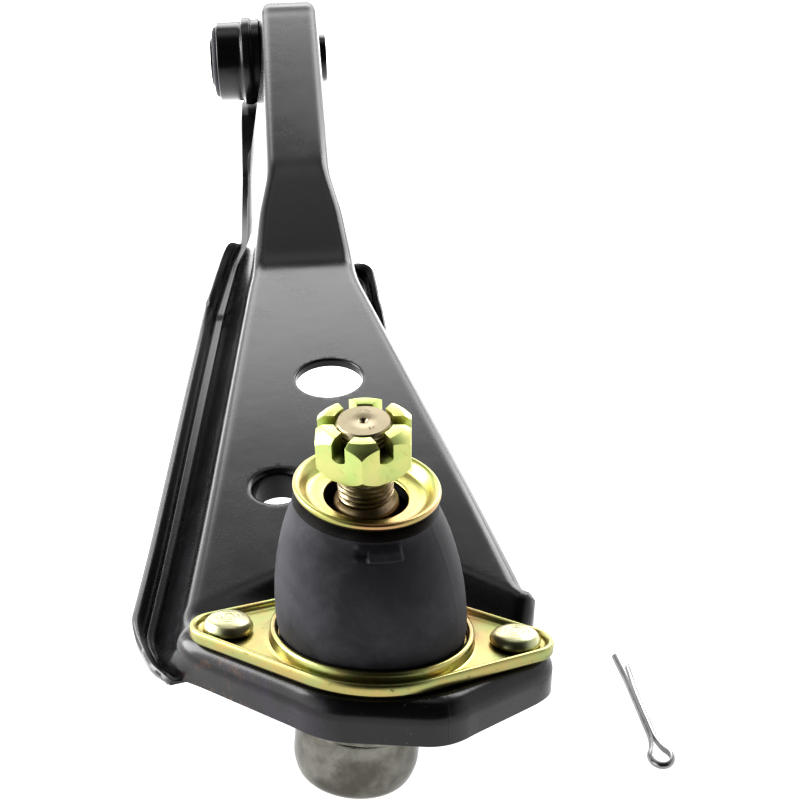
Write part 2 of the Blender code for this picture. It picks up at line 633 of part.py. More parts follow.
bpy.context.view_layer.update()
bootFoot = flangeTop + fitGap
bootLip = -cupSheet - fitGap
outerSkin = [(25.0, 0.0), (25.2, 0.12), (25.0, 0.28), (24.4, 0.42), (23.4, 0.56), (22.0, 0.70), (20.2, 0.84), (18.0, 0.95)]
outerSkin = [(r / 1000 * bootRadius / 0.025, s) for r, s in outerSkin]
innerSkin = [(r - bootWall, min(s, 0.92)) for r, s in reversed(outerSkin)]
bootProfile = outerSkin + [(cupRadius - 0.0056, 1.0), (cupHoleRadius, 1.0), (cupHoleRadius, 0.955)] + innerSkin


def bootMesh(name, profile, steps):
    """Rings (radius, share) between the pad's circle at share 0 and the cup's circle at share 1."""
    angles = np.arange(steps) * 2 * math.pi / steps
    radius = np.array([r for r, share in profile])[:, None]
    share = np.array([s for r, s in profile])[:, None, None]
    x, y = radius * np.cos(angles), radius * np.sin(angles)
    spun = []
    for frame, level in ((pad.matrix_world, bootFoot), (cupPlace.matrix_world, bootLip)):
        matrix = np.array(frame)
        local = np.stack([x, y, level + 0 * x], 2)
        spun.append(local @ matrix[:3, :3].T + matrix[:3, 3])
    points = spun[0] * (1 - share) + spun[1] * share
    bm = bmesh.new()
    verts = [[bm.verts.new(p) for p in ring] for ring in points]
    for lower, upper in zip(verts, verts[1:] + verts[:1]):
        for k in range(steps):
            n = (k + 1) % steps
            bm.faces.new((lower[k], lower[n], upper[n], upper[k]))
    return meshFrom(bm, name)


addObject("dust_boot", bootMesh("dust_boot", bootProfile, 32), darkRubber)

# ---------------------------------------------------------------- cotter pin, lying beside the nose

pinX = pinWire + 0.0002  # half the distance between the two legs
pinPath = [(-pinX, pinLength + 0.0040, 0), (-pinX, pinLength * 0.5, 0), (-pinX, pinLoop + 0.0028, 0)]
for angle in np.radians(np.linspace(130, 410, 15)):
    pinPath.append((pinLoop * math.cos(angle), pinLoop * math.sin(angle), 0))
pinPath += [(pinX, pinLoop + 0.0028, 0), (pinX, pinLength * 0.5, 0), (pinX, pinLength, 0)]
pinPlace = (0.0915, -0.4020, pinFloor + pinWire)
addObject("cotter_pin", tube("cotter_pin", pinPath, pinWire), brightZinc, None, pinPlace, (0, 0, math.radians(4)))
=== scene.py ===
import math
import bmesh
import bpy
import numpy as np
from mathutils import Matrix, Vector


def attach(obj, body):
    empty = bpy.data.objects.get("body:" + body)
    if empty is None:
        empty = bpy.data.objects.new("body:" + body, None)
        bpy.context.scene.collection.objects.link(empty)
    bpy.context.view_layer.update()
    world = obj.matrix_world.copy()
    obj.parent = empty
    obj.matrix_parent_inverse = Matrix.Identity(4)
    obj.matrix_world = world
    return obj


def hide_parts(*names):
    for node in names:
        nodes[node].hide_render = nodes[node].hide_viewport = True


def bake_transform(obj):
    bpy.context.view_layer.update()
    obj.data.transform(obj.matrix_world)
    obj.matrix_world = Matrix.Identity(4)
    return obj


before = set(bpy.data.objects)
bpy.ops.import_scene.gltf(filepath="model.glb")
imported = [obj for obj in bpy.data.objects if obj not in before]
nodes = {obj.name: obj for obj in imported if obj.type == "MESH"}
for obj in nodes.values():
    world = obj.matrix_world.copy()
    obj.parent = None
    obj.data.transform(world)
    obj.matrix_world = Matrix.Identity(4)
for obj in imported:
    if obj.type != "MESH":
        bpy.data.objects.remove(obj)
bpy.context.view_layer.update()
print("frame loaded")


class Wire:
    # one shader socket that takes part in plain arithmetic
    def __init__(self, tree, socket):
        self.tree = tree
        self.socket = socket

    def math(self, operation, first, second):
        node = self.tree.nodes.new("ShaderNodeMath")
        node.operation = operation
        for slot, value in zip(node.inputs, (first, second)):
            if isinstance(value, Wire):
                self.tree.links.new(value.socket, slot)
            else:
                slot.default_value = value
        return Wire(self.tree, node.outputs[0])

    def __add__(self, other):
        return self.math("ADD", self, other)

    __radd__ = __add__

    def __rsub__(self, other):
        return self.math("SUBTRACT", other, self)

    def __mul__(self, other):
        return self.math("MULTIPLY", self, other)

    def smooth(self, low, high):
        node = self.tree.nodes.new("ShaderNodeMapRange")
        node.interpolation_type = "SMOOTHSTEP"
        node.inputs["From Min"].default_value = low
        node.inputs["From Max"].default_value = high
        self.tree.links.new(self.socket, node.inputs["Value"])
        return Wire(self.tree, node.outputs["Result"])


class Finish:
    # a Principled material and the few moves that every finish here needs
    def __init__(self, name, **fixed):
        self.material = bpy.data.materials.new(name)
        self.material.use_nodes = True
        self.tree = self.material.node_tree
        self.shader = self.tree.nodes["Principled BSDF"]
        for key, value in fixed.items():
            self.shader.inputs[key.replace("_", " ")].default_value = value
        self.place = self.node("ShaderNodeTexCoord").outputs["Object"]

    def node(self, kind, settings=None, inputs=None):
        made = self.tree.nodes.new(kind)
        for key, value in (settings or {}).items():
            setattr(made, key, value)
        for key, value in (inputs or {}).items():
            if isinstance(value, Wire):
                self.tree.links.new(value.socket, made.inputs[key])
            elif isinstance(value, bpy.types.NodeSocket):
                self.tree.links.new(value, made.inputs[key])
            else:
                made.inputs[key].default_value = value
        return made

    def axes(self):
        split = self.node("ShaderNodeSeparateXYZ", inputs={"Vector": self.place})
        return [Wire(self.tree, split.outputs[k]) for k in range(3)]

    def noise(self, scale, detail=4, roughness=0.55, stretch=None, distortion=0.0):
        place = self.place
        if stretch:
            stretched = self.node("ShaderNodeMapping", inputs={"Vector": place, "Scale": stretch})
            place = stretched.outputs[0]
        values = {"Vector": place, "Scale": scale, "Detail": detail, "Roughness": roughness,
                  "Distortion": distortion}
        return Wire(self.tree, self.node("ShaderNodeTexNoise", inputs=values).outputs["Fac"])

    def cells(self, scale):
        made = self.node("ShaderNodeTexVoronoi", inputs={"Vector": self.place, "Scale": scale})
        return Wire(self.tree, made.outputs["Distance"])

    def mix(self, share, first, second):
        made = self.node("ShaderNodeMix", {"data_type": "RGBA"})
        self.tree.links.new(share.socket, made.inputs[0])
        for slot, value in ((6, first), (7, second)):
            if isinstance(value, Wire):
                self.tree.links.new(value.socket, made.inputs[slot])
            else:
                made.inputs[slot].default_value = (*value, 1.0)
        return Wire(self.tree, made.outputs[2])

    def near(self, centre, radius, edge):
        # 1 inside a ball round the centre, fading to 0 over the edge
        inputs = {0: self.place, 1: centre}
        gap = self.node("ShaderNodeVectorMath", {"operation": "DISTANCE"}, inputs)
        return 1.0 - Wire(self.tree, gap.outputs["Value"]).smooth(radius - edge, radius + edge)

    def feed(self, name, wire):
        self.tree.links.new(wire.socket, self.shader.inputs[name])

    def bump(self, wire, distance, strength):
        inputs = {"Height": wire, "Distance": distance, "Strength": strength}
        made = self.node("ShaderNodeBump", inputs=inputs)
        self.tree.links.new(made.outputs[0], self.shader.inputs["Normal"])


def shadeSmooth(mesh, sharp):
    mesh.shade_smooth()
    mesh.set_sharp_from_angle(angle=math.radians(sharp))


def makePiece(name, points, quads, material, body, covers=(), sharp=40, slot=None):
    # one closed mesh from whole arrays, with what it rides on and what it stands for
    mesh = bpy.data.meshes.new(name)
    mesh.from_pydata(points.reshape(-1, 3).tolist(), [], quads.tolist())
    work = bmesh.new()
    work.from_mesh(mesh)
    bmesh.ops.remove_doubles(work, verts=work.verts, dist=2e-6)
    bmesh.ops.recalc_face_normals(work, faces=work.faces)
    work.to_mesh(mesh)
    work.free()
    shadeSmooth(mesh, sharp)
    mesh.materials.append(material)
    piece = bpy.data.objects.new(name, mesh)
    bpy.context.scene.collection.objects.link(piece)
    if body:
        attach(piece, body)
    if covers:
        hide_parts(*covers)
    return piece


def bakeModifiers(piece):
    # the mesh that the modifiers make takes the place of the plain one
    graph = bpy.context.evaluated_depsgraph_get()
    made = bpy.data.meshes.new_from_object(piece.evaluated_get(graph))
    piece.modifiers.clear()
    piece.data = made


def gridFaces(rows, columns, closeRows=False, closeColumns=False):
    index = np.arange(rows * columns).reshape(rows, columns)
    down = np.roll(index, -1, axis=0)
    across = np.roll(index, -1, axis=1)
    both = np.roll(down, -1, axis=1)
    quads = np.stack([index, across, both, down], 2)
    quads = quads if closeRows else quads[:-1]
    quads = quads if closeColumns else quads[:, :-1]
    return quads.reshape(-1, 4)


def eased(value):
    value = np.clip(value, 0, 1)
    return value * value * (3 - 2 * value)


def placed(local, place):
    matrix = np.array(place)
    return local @ matrix[:3, :3].T + matrix[:3, 3]


def turnAngles(steps):
    return np.arange(steps) * 2 * np.pi / steps


def spun(radius, height, steps):
    # rings round the local Z axis, one per row; the radius may change along a ring
    angle = turnAngles(steps)
    x, y = radius * np.cos(angle), radius * np.sin(angle)
    return np.stack([x, y, height + 0 * x], 2)


def roundOff(profile, radius, steps=5, closed=True):
    # each corner of a (radius, height) profile becomes a curve that starts and ends this far off
    profile = np.array(profile, float)
    before = np.roll(profile, 1, axis=0) - profile
    after = np.roll(profile, -1, axis=0) - profile
    lengthBefore = np.linalg.norm(before, axis=1)[:, None]
    lengthAfter = np.linalg.norm(after, axis=1)[:, None]
    start = profile + before / lengthBefore * np.minimum(radius, lengthBefore * 0.45)
    end = profile + after / lengthAfter * np.minimum(radius, lengthAfter * 0.45)
    t = np.linspace(0, 1, steps)[None, :, None]
    curve = start[:, None] * (1 - t) ** 2 + profile[:, None] * 2 * t * (1 - t)
    curve = curve + end[:, None] * t**2
    if not closed:
        curve[0] = profile[0]
        curve[-1] = profile[-1]
    return curve.reshape(-1, 2)


def turnedPiece(name, profile, place, material, body, covers, steps=128, closed=True, wobble=0.0,
                sharp=40):
    # the profile (radius, height) carried round the local Z axis, then put in place
    profile = np.array(profile)
    angle = turnAngles(steps)
    grow = 1 + wobble * np.cos(2 * angle + 0.7) + wobble * 0.6 * np.cos(3 * angle)
    points = placed(spun(profile[:, :1] * grow, profile[:, 1:], steps), place)
    quads = gridFaces(len(profile), steps, closeRows=closed, closeColumns=True)
    return makePiece(name, points, quads, material, body, covers, sharp)


# frames of the two ends

ballCentre = Vector((0.0115, -0.3935, -0.038))
jointYaw = math.radians(-6.0)  # shared by pad, plate and stud
padRoll, padPitch = math.radians(3.5), math.radians(-16.9)
padLift = 0.0012
cupRoll, cupPitch = math.radians(5.5), math.radians(-4.5)
cupShift = (0, 0.0018, 0.0548)
quarterTurn = math.radians(90)

padTurn = Matrix.Rotation(jointYaw, 3, "Z") @ Matrix.Rotation(padRoll, 3, "Y")
padTurn = padTurn @ Matrix.Rotation(padPitch, 3, "X")
padPlace = Matrix.Translation(ballCentre + Vector((0, 0, padLift))) @ padTurn.to_4x4()
padNormal = padTurn @ Vector((0, 0, 1))
studPlace = Matrix.Translation(ballCentre) @ Matrix.Rotation(jointYaw, 4, "Z")
cupPlace = studPlace @ Matrix.Translation(cupShift)
cupPlace = cupPlace @ Matrix.Rotation(cupRoll, 4, "Y") @ Matrix.Rotation(cupPitch, 4, "X")
bushPlace = Matrix.Rotation(quarterTurn, 4, "Y")

# finishes

paint = {
    "clean": (0.0050, 0.0050, 0.0056), "film": (0.017, 0.0165, 0.0185),
    "rust": (0.16, 0.075, 0.028), "chip": (0.002, 0.002, 0.002),
    "grit": (0.22, 0.20, 0.19), "brown": (0.13, 0.07, 0.035),
    "violet": (0.030, 0.016, 0.038), "scuff": (0.12, 0.12, 0.125), "dots": (0.15, 0.15, 0.15),
}
spots = {  # centre, radius and half the width of the soft edge
    "rust": ((-0.0300, -0.4040, -0.0365), 0.012, 0.010),
    "chip": ((0.0162, -0.2229, -0.027), 0.0038, 0.0025),
    "nose": ((0.0115, -0.4150, -0.032), 0.046, 0.018),
    "eyeLeft": ((-0.0120, 0.0100, 0.0250), 0.010, 0.012),
    "eyeRight": ((0.0130, 0.0060, 0.0270), 0.008, 0.010),
    "violet": ((-0.0150, -0.4130, -0.029), 0.016, 0.012),
}


def blackPaintFinish(name, worn=True):
    look = Finish(name, Specular_IOR_Level=0.38, Coat_Weight=0.18, Coat_Roughness=0.14)
    dust = look.noise(38, 5, 0.6)
    broad = look.noise(9, 3, 0.5)
    fine = look.noise(900, 3, 0.6)
    film = (dust * 0.6 + broad * 0.6).smooth(0.42, 0.85)
    colour = look.mix(film, paint["clean"], paint["film"])

    def lay(kind, share):
        return look.mix(share, colour, paint[kind])

    if worn:
        rust = look.near(*spots["rust"]) * look.noise(260, 6, 0.7).smooth(0.52, 0.66)
        colour = lay("rust", rust * 0.55)
        chip = look.near(*spots["chip"]) * look.noise(520, 6, 0.8).smooth(0.46, 0.54)
        colour = lay("chip", chip * 0.8)
        grit = (1.0 - look.cells(520).smooth(0.06, 0.14)) * look.near(*spots["nose"])
        colour = lay("grit", grit * look.noise(70, 4, 0.6).smooth(0.5, 0.62) * 0.6)
        brown = look.near(*spots["eyeLeft"]) + look.near(*spots["eyeRight"])
        colour = lay("brown", brown * look.noise(240, 6, 0.75).smooth(0.50, 0.66) * 0.35)
        violet = look.near(*spots["violet"]) * look.noise(90, 4, 0.6).smooth(0.45, 0.6)
        colour = lay("violet", violet * 0.5)
        scratched = look.noise(60, 8, 0.75, stretch=(1, 0.25, 1)).smooth(0.66, 0.74)
        colour = lay("scuff", scratched * look.noise(14, 2, 0.5).smooth(0.5, 0.7) * 0.25)
    dots = 1.0 - look.cells(420).smooth(0.05, 0.13)
    colour = lay("dots", dots * broad.smooth(0.5, 0.62) * 0.25)
    look.feed("Base Color", colour)
    look.feed("Roughness", 0.20 + film * 0.12 + fine * 0.05)
    look.bump(fine * 0.25 + dust * 0.8 + look.noise(140, 3, 0.5) * 0.7, 0.00018, 0.35)
    return look.material


def zincFinish(name, base, green, pink, dark, rough, grain, stains):
    look = Finish(name, Metallic=1.0)
    cloud = look.noise(120, 4, 0.6, distortion=0.4)
    broad = look.noise(38, 3, 0.5)
    fine = look.noise(1400, 3, 0.6)
    colour = look.mix(cloud.smooth(0.35, 0.68), base, green)
    colour = look.mix(broad.smooth(0.52, 0.75) * 0.6, colour, pink)
    spot = look.noise(420, 6, 0.75).smooth(0.58, 0.72)
    colour = look.mix(spot * stains, colour, dark)
    look.feed("Base Color", colour)
    look.feed("Roughness", rough + cloud * 0.10 + fine * grain + spot * 0.2)
    look.bump(fine * 0.4 + cloud * 0.5, 0.00010, 0.35)
    return look.material


def rubberFinish(name, chalk):
    look = Finish(name, Specular_IOR_Level=0.35)
    cloud = look.noise(75, 5, 0.62, distortion=0.5)
    smear = look.noise(30, 3, 0.6, stretch=(1, 1, 0.45))
    fine = look.noise(1500, 3, 0.7)
    dust = (cloud * 0.7 + smear * 0.5).smooth(0.42, 0.80)
    colour = look.mix(dust * chalk, (0.013, 0.0125, 0.0165), (0.070, 0.068, 0.078))
    specks = 1.0 - look.cells(300).smooth(0.04, 0.10)
    colour = look.mix(specks * smear.smooth(0.45, 0.6) * 0.4, colour, (0.16, 0.16, 0.16))
    look.feed("Base Color", colour)
    look.feed("Roughness", 0.50 + dust * 0.18 + fine * 0.08)
    look.bump(fine * 0.5 + cloud * 0.6, 0.00014, 0.4)
    return look.material


def steelFinish(name, colour, second, rough):
    look = Finish(name, Metallic=1.0)
    cloud = look.noise(90, 4, 0.6)
    fine = look.noise(1100, 3, 0.6)
    look.feed("Base Color", look.mix(cloud.smooth(0.35, 0.7), colour, second))
    look.feed("Roughness", rough + cloud * 0.15 + fine * 0.08)
    turned = look.noise(1.0, 2, 0.5, stretch=(300, 300, 5000))
    look.bump(turned * 0.6 + fine * 0.4, 0.00008, 0.4)
    return look.material


blackPaint = blackPaintFinish("black paint on the arm")
bushPaint = blackPaintFinish("black paint on the bush", worn=False)
plateZinc = zincFinish(
    "yellow zinc on the plate", base=(0.40, 0.33, 0.145), green=(0.32, 0.35, 0.16),
    pink=(0.45, 0.24, 0.17), dark=(0.08, 0.045, 0.02), rough=0.20, grain=0.10, stains=0.6)
nutZinc = zincFinish(
    "yellow zinc on the nut", base=(0.52, 0.52, 0.22), green=(0.42, 0.51, 0.20),
    pink=(0.60, 0.46, 0.28), dark=(0.22, 0.15, 0.07), rough=0.28, grain=0.08, stains=0.25)
cupZinc = zincFinish(
    "yellow zinc on the cup", base=(0.38, 0.33, 0.125), green=(0.31, 0.37, 0.14),
    pink=(0.46, 0.23, 0.17), dark=(0.20, 0.13, 0.06), rough=0.22, grain=0.08, stains=0.2)
studZinc = zincFinish(
    "yellow zinc on the stud", base=(0.29, 0.25, 0.175), green=(0.25, 0.22, 0.15),
    pink=(0.30, 0.21, 0.15), dark=(0.05, 0.033, 0.018), rough=0.24, grain=0.1, stains=0.75)
rivetZinc = zincFinish(
    "yellow zinc on the rivets", base=(0.44, 0.41, 0.26), green=(0.38, 0.39, 0.25),
    pink=(0.40, 0.26, 0.12), dark=(0.08, 0.05, 0.02), rough=0.24, grain=0.1, stains=0.5)
bootRubber = rubberFinish("chalky boot rubber", 0.8)
bushRubber = rubberFinish("bush rubber", 0.3)
nylon = rubberFinish("moulded nylon", 0.5)
housingSteel = steelFinish("oiled housing steel", (0.11, 0.105, 0.092), (0.23, 0.225, 0.20), 0.13)
pinSteel = steelFinish("bright pin steel", (0.34, 0.34, 0.345), (0.22, 0.22, 0.225), 0.20)
innerSteel = steelFinish("spring steel", (0.30, 0.30, 0.31), (0.22, 0.22, 0.23), 0.35)
hiddenLooks = {
    "lower_seat": innerSteel, "upper_seat": innerSteel, "preload_spring": innerSteel,
    "closure_ring": housingSteel, "boot_base_ring": plateZinc, "ball_liner": nylon,
}
for name, look in hiddenLooks.items():
    nodes[name].data.materials.clear()
    nodes[name].data.materials.append(look)
print("finishes made")

# the pressing

pressing = {
    "armLength": 0.3935, "sheet": 0.0030, "bend": 0.0050, "eyeRadius": 0.0280,
    "eyeHalfWidth": 0.0140,
    "noseCentre": 0.0115, "noseHalfLeft": 0.0520, "noseHalfRight": 0.0492, "noseReach": 0.0292,
    "noseFlat": 0.0152, "noseDepth": 0.0125, "noseTurn": 6.5, "noseTurnEnd": -0.398,
    "noseShoulder": -0.3960, "cornerWindow": 0.0068, "webDepth": 0.0170, "leftLean": 0.0095,
    "leftGutter": 0.0050, "neckFlange": 0.0128, "rightFlange": 0.0100, "lipHeight": 0.0060,
    "lowCrease": (0.2135, -0.0254), "highCrease": (0.2605, -0.0026), "webStart": -0.0329,
    "wideLeft": 0.0225, "wideRight": 0.0222, "padHeight": 0.0044, "padRamp": (0.0030, 0.0110),
    "plateHalfLength": 0.0485, "plateHalfWidth": 0.0298, "shoulderRadius": 0.0216,
    "tangent": 11.5, "eyeOverrun": 1.30, "across": 72, "rows": 250, "cutEdge": 0.0007,
}
linkHole = {"place": (0.0065, -0.2629), "radius": 0.0117, "soft": 0.0008}
rodHole = {"place": (-0.0121, -0.3215), "radius": 0.0078, "soft": 0.0022, "rimDepth": 0.0112}
p = pressing
padTop = padPlace @ Vector((0, 0, p["padHeight"]))
jointY = -p["armLength"]
noseFront = jointY - p["noseReach"]
shoulderY = p["noseShoulder"]
lowY = p["lowCrease"][0] - p["armLength"]
highY = p["highCrease"][0] - p["armLength"]
wideY = lowY - 0.012
tangentY = -math.sin(math.radians(p["tangent"])) * p["eyeRadius"]


def evened(y, places, values, window=0.006):
    # straight runs through the points, each corner averaged over a window
    taps = np.linspace(-1, 1, 21)
    weight = 1 - taps**2
    total = sum(w * np.interp(y + window * k, places, values) for k, w in zip(taps, weight))
    return total / weight.sum()


def bendLine(y, side):
    # plan position of the bend between web and side wall, the eye's far corners rounded
    wide = np.where(side < 0, p["wideLeft"], p["wideRight"])
    places = [noseFront, shoulderY, jointY + 0.004, wideY, highY - 0.018, highY, 0]
    full = np.where(side < 0, p["noseHalfLeft"], p["noseHalfRight"])
    nose = evened(y, places, [p["noseFlat"], 0, 0, 0, 0.0035, -0.0003, 0])
    nose = nose + full * evened(y, places, [0, 0.98, 1, 0, 0, 0, 0])
    middle = [0.0137, p["noseCentre"], p["noseCentre"], 0, 0, 0, 0]
    across = evened(y, places, middle)
    across = across + side * (nose + evened(y, places, [0] * 4 + [p["eyeHalfWidth"]] * 3))
    across = across + side * wide * evened(y, places, [0, 0, 0, 1, 0, 0, 0])
    end = np.clip((y - p["eyeRadius"] + p["bend"]) / p["bend"], 0, 1)
    return across - side * p["bend"] * (1 - np.sqrt(1 - end**2))


def padShare(x, y):
    # 1 on the tilted pad, falling to 0 across the ramp that follows the plate's back edges
    c, s = math.cos(jointYaw), math.sin(jointYaw)
    across = (x - padTop.x) * c + (y - padTop.y) * s
    along = (y - padTop.y) * c - (x - padTop.x) * s
    slant = math.hypot(1 / p["plateHalfLength"], 1 / p["plateHalfWidth"])
    across = np.sqrt(across**2 + 0.006**2)
    beyond = (across / p["plateHalfLength"] + along / p["plateHalfWidth"] - 1) / slant
    start, width = p["padRamp"]
    return 1 - eased((beyond - start) / width)


def topHeight(x, y):
    # the web: three straight runs, then round the bush, with the tilted pad let in at the nose
    slope = (p["lowCrease"][1] - p["webStart"]) / p["lowCrease"][0]
    places = [noseFront, jointY, lowY, highY, tangentY]
    crown = math.sqrt(p["eyeRadius"] ** 2 - tangentY**2)
    heights = [p["webStart"] - slope * p["noseReach"], p["webStart"], p["lowCrease"][1],
               p["highCrease"][1], crown]
    web = evened(y, places, heights, 0.007)
    web = np.where(y > tangentY, np.sqrt(np.maximum(p["eyeRadius"] ** 2 - y**2, 0)), web)
    fall = (x - padTop.x) * padNormal.x + (y - padTop.y) * padNormal.y
    plane = padTop.z - fall / padNormal.z
    return web + (plane - web) * padShare(x, y)


def webNormal(x, y):
    # from the slopes of the height; round the bush it points away from the pivot axis
    step = 0.0003
    slopeX = (topHeight(x + step, y) - topHeight(x - step, y)) / (2 * step)
    low = np.minimum(y, tangentY - step)
    slopeY = (topHeight(x, low + step) - topHeight(x, low - step)) / (2 * step)
    flat = np.stack([-slopeX, -slopeY, 1 + 0 * slopeX], -1)
    flat /= np.linalg.norm(flat, axis=-1)[..., None]
    radial = np.stack([0 * x, y, topHeight(x, y)], -1) / p["eyeRadius"]
    share = eased((y - tangentY + 0.004) / 0.008)[..., None]
    blend = flat * (1 - share) + radial * share
    return blend / np.linalg.norm(blend, axis=-1)[..., None]


def wallSection(y, side, wallTop):
    # (out, down) below the bend: the wall, then the gutter and lip where there are any
    left = side < 0
    lean, neck = p["leftLean"], highY + 0.012
    webDepths = [p["noseDepth"], p["webDepth"]]
    depth = evened(y, [shoulderY, jointY + 0.016], webDepths, 0.004) - p["bend"]
    feet = [p["lowCrease"][1] - p["webDepth"], -0.036, -p["shoulderRadius"] - 0.0012]
    foot = np.interp(y, [wideY, -0.060, -0.020], feet)
    height = np.where(y < wideY, depth, wallTop - foot)
    leftReach = [0.0134, 0.0142, lean + p["leftGutter"], p["neckFlange"]]
    leftOut = evened(y, [-0.340, -0.250, wideY, neck], leftReach, 0.004)
    leftLeans = [lean, lean - 0.0005, lean - 0.0005, 0.0002]
    leftWall = np.interp(y, [highY, neck, -0.048, -0.028], leftLeans)
    rightReach = [0, p["rightFlange"] * 0.38, p["rightFlange"] * 0.62, 0]
    rightOut = evened(y, [-0.226, -0.200, -0.172, -0.152], rightReach, 0.003)
    reach = np.where(left, leftOut, rightOut)
    lean = np.where(left, leftWall, rightOut * 0.3)
    ends = np.where(left, 1 - eased((y - 0.004) / 0.014), eased(rightOut / 0.0025))
    flanged = eased((y - shoulderY + 0.005) / 0.032) * ends
    lip = flanged * (1 - eased((y - highY + 0.016) / 0.018)) * p["lipHeight"]
    lip = lip * eased(reach / 0.006)
    baseDrop = np.interp(y, [-0.060, -0.035], [0.86, 0.965])
    rings = [(0 * y, 0 * y)]
    for share, drop, plainDrop in ((0.25, 0.25, 0.15), (0.5, 0.5, 0.30), (0.93, baseDrop, 0.55)):
        down = height * (plainDrop + (drop - plainDrop) * flanged)
        rings.append((lean * share * flanged, down))
    spread = np.where(y > -0.050, 0.10, 1.0) * (1 - flanged)
    gutter = ((0.20, 0.30, 0), (0.50, 0.21, 0), (0.84, 0.12, 0), (0.97, 0.06, 0.22), (1, 0, 1))
    for share, gap, lift in gutter:
        out = (lean + (reach - lean) * share) * flanged
        rings.append((out, height * (1 - gap * spread) - lip * lift))
    return np.array(rings)


def cutCorners(rings, times=2):
    # each pass replaces a run's corners by points a quarter of the way along its pieces
    for k in range(times):
        near = rings[:-1] * 0.75 + rings[1:] * 0.25
        far = rings[:-1] * 0.25 + rings[1:] * 0.75
        middle = np.stack([near, far], 1).reshape(-1, *rings.shape[1:])
        rings = np.concatenate([rings[:1], middle[1:-1], rings[-1:]])
    return rings


def sheared(x, y):
    # the nose is turned with the plate: its right side lies further forward
    fading = 1 - eased((y - p["noseTurnEnd"]) / 0.080)
    return y - math.tan(math.radians(p["noseTurn"])) * (x - p["noseCentre"]) * fading


def unit(vectors):
    return vectors / np.maximum(np.linalg.norm(vectors, axis=1)[:, None], 1e-9)


def stationsAlong():
    # the rows' places along the arm, closest on the nose, at the creases and round the eye
    end = p["eyeRadius"] * p["eyeOverrun"]
    knots = [0, 0.06, 0.22, 0.45, 0.60, 0.74, 0.84, 1.0]
    places = [noseFront, noseFront + 0.008, -0.378, -0.255, -0.192, -0.118, tangentY, end]
    stations = np.interp(np.linspace(0, 1, p["rows"]), knots, places)
    stations[0:14] = noseFront + 0.008 * (np.arange(14) / 14) ** 2
    turn = np.clip((stations - tangentY) / (end - tangentY), 0, 1)
    start = math.asin(tangentY / p["eyeRadius"])
    rounded = p["eyeRadius"] * np.sin(start + turn * (math.pi / 2 - start))
    return np.where(turn > 0, rounded, stations)


def roundCorners(edgeX, edgeY):
    # the outline averaged along itself over a window that closes behind the nose's front
    along = np.concatenate([[0], np.cumsum(np.hypot(np.diff(edgeX), np.diff(edgeY)))])
    around = along[-1] + math.hypot(edgeX[0] - edgeX[-1], edgeY[0] - edgeY[-1])
    window = p["cornerWindow"] * (1 - eased((edgeY - noseFront - 0.010) / 0.014))
    taps = np.linspace(-1, 1, 15)
    newX = np.mean([np.interp(along + window * t, along, edgeX, period=around) for t in taps], 0)
    newY = np.mean([np.interp(along + window * t, along, edgeY, period=around) for t in taps], 0)
    return newX, newY


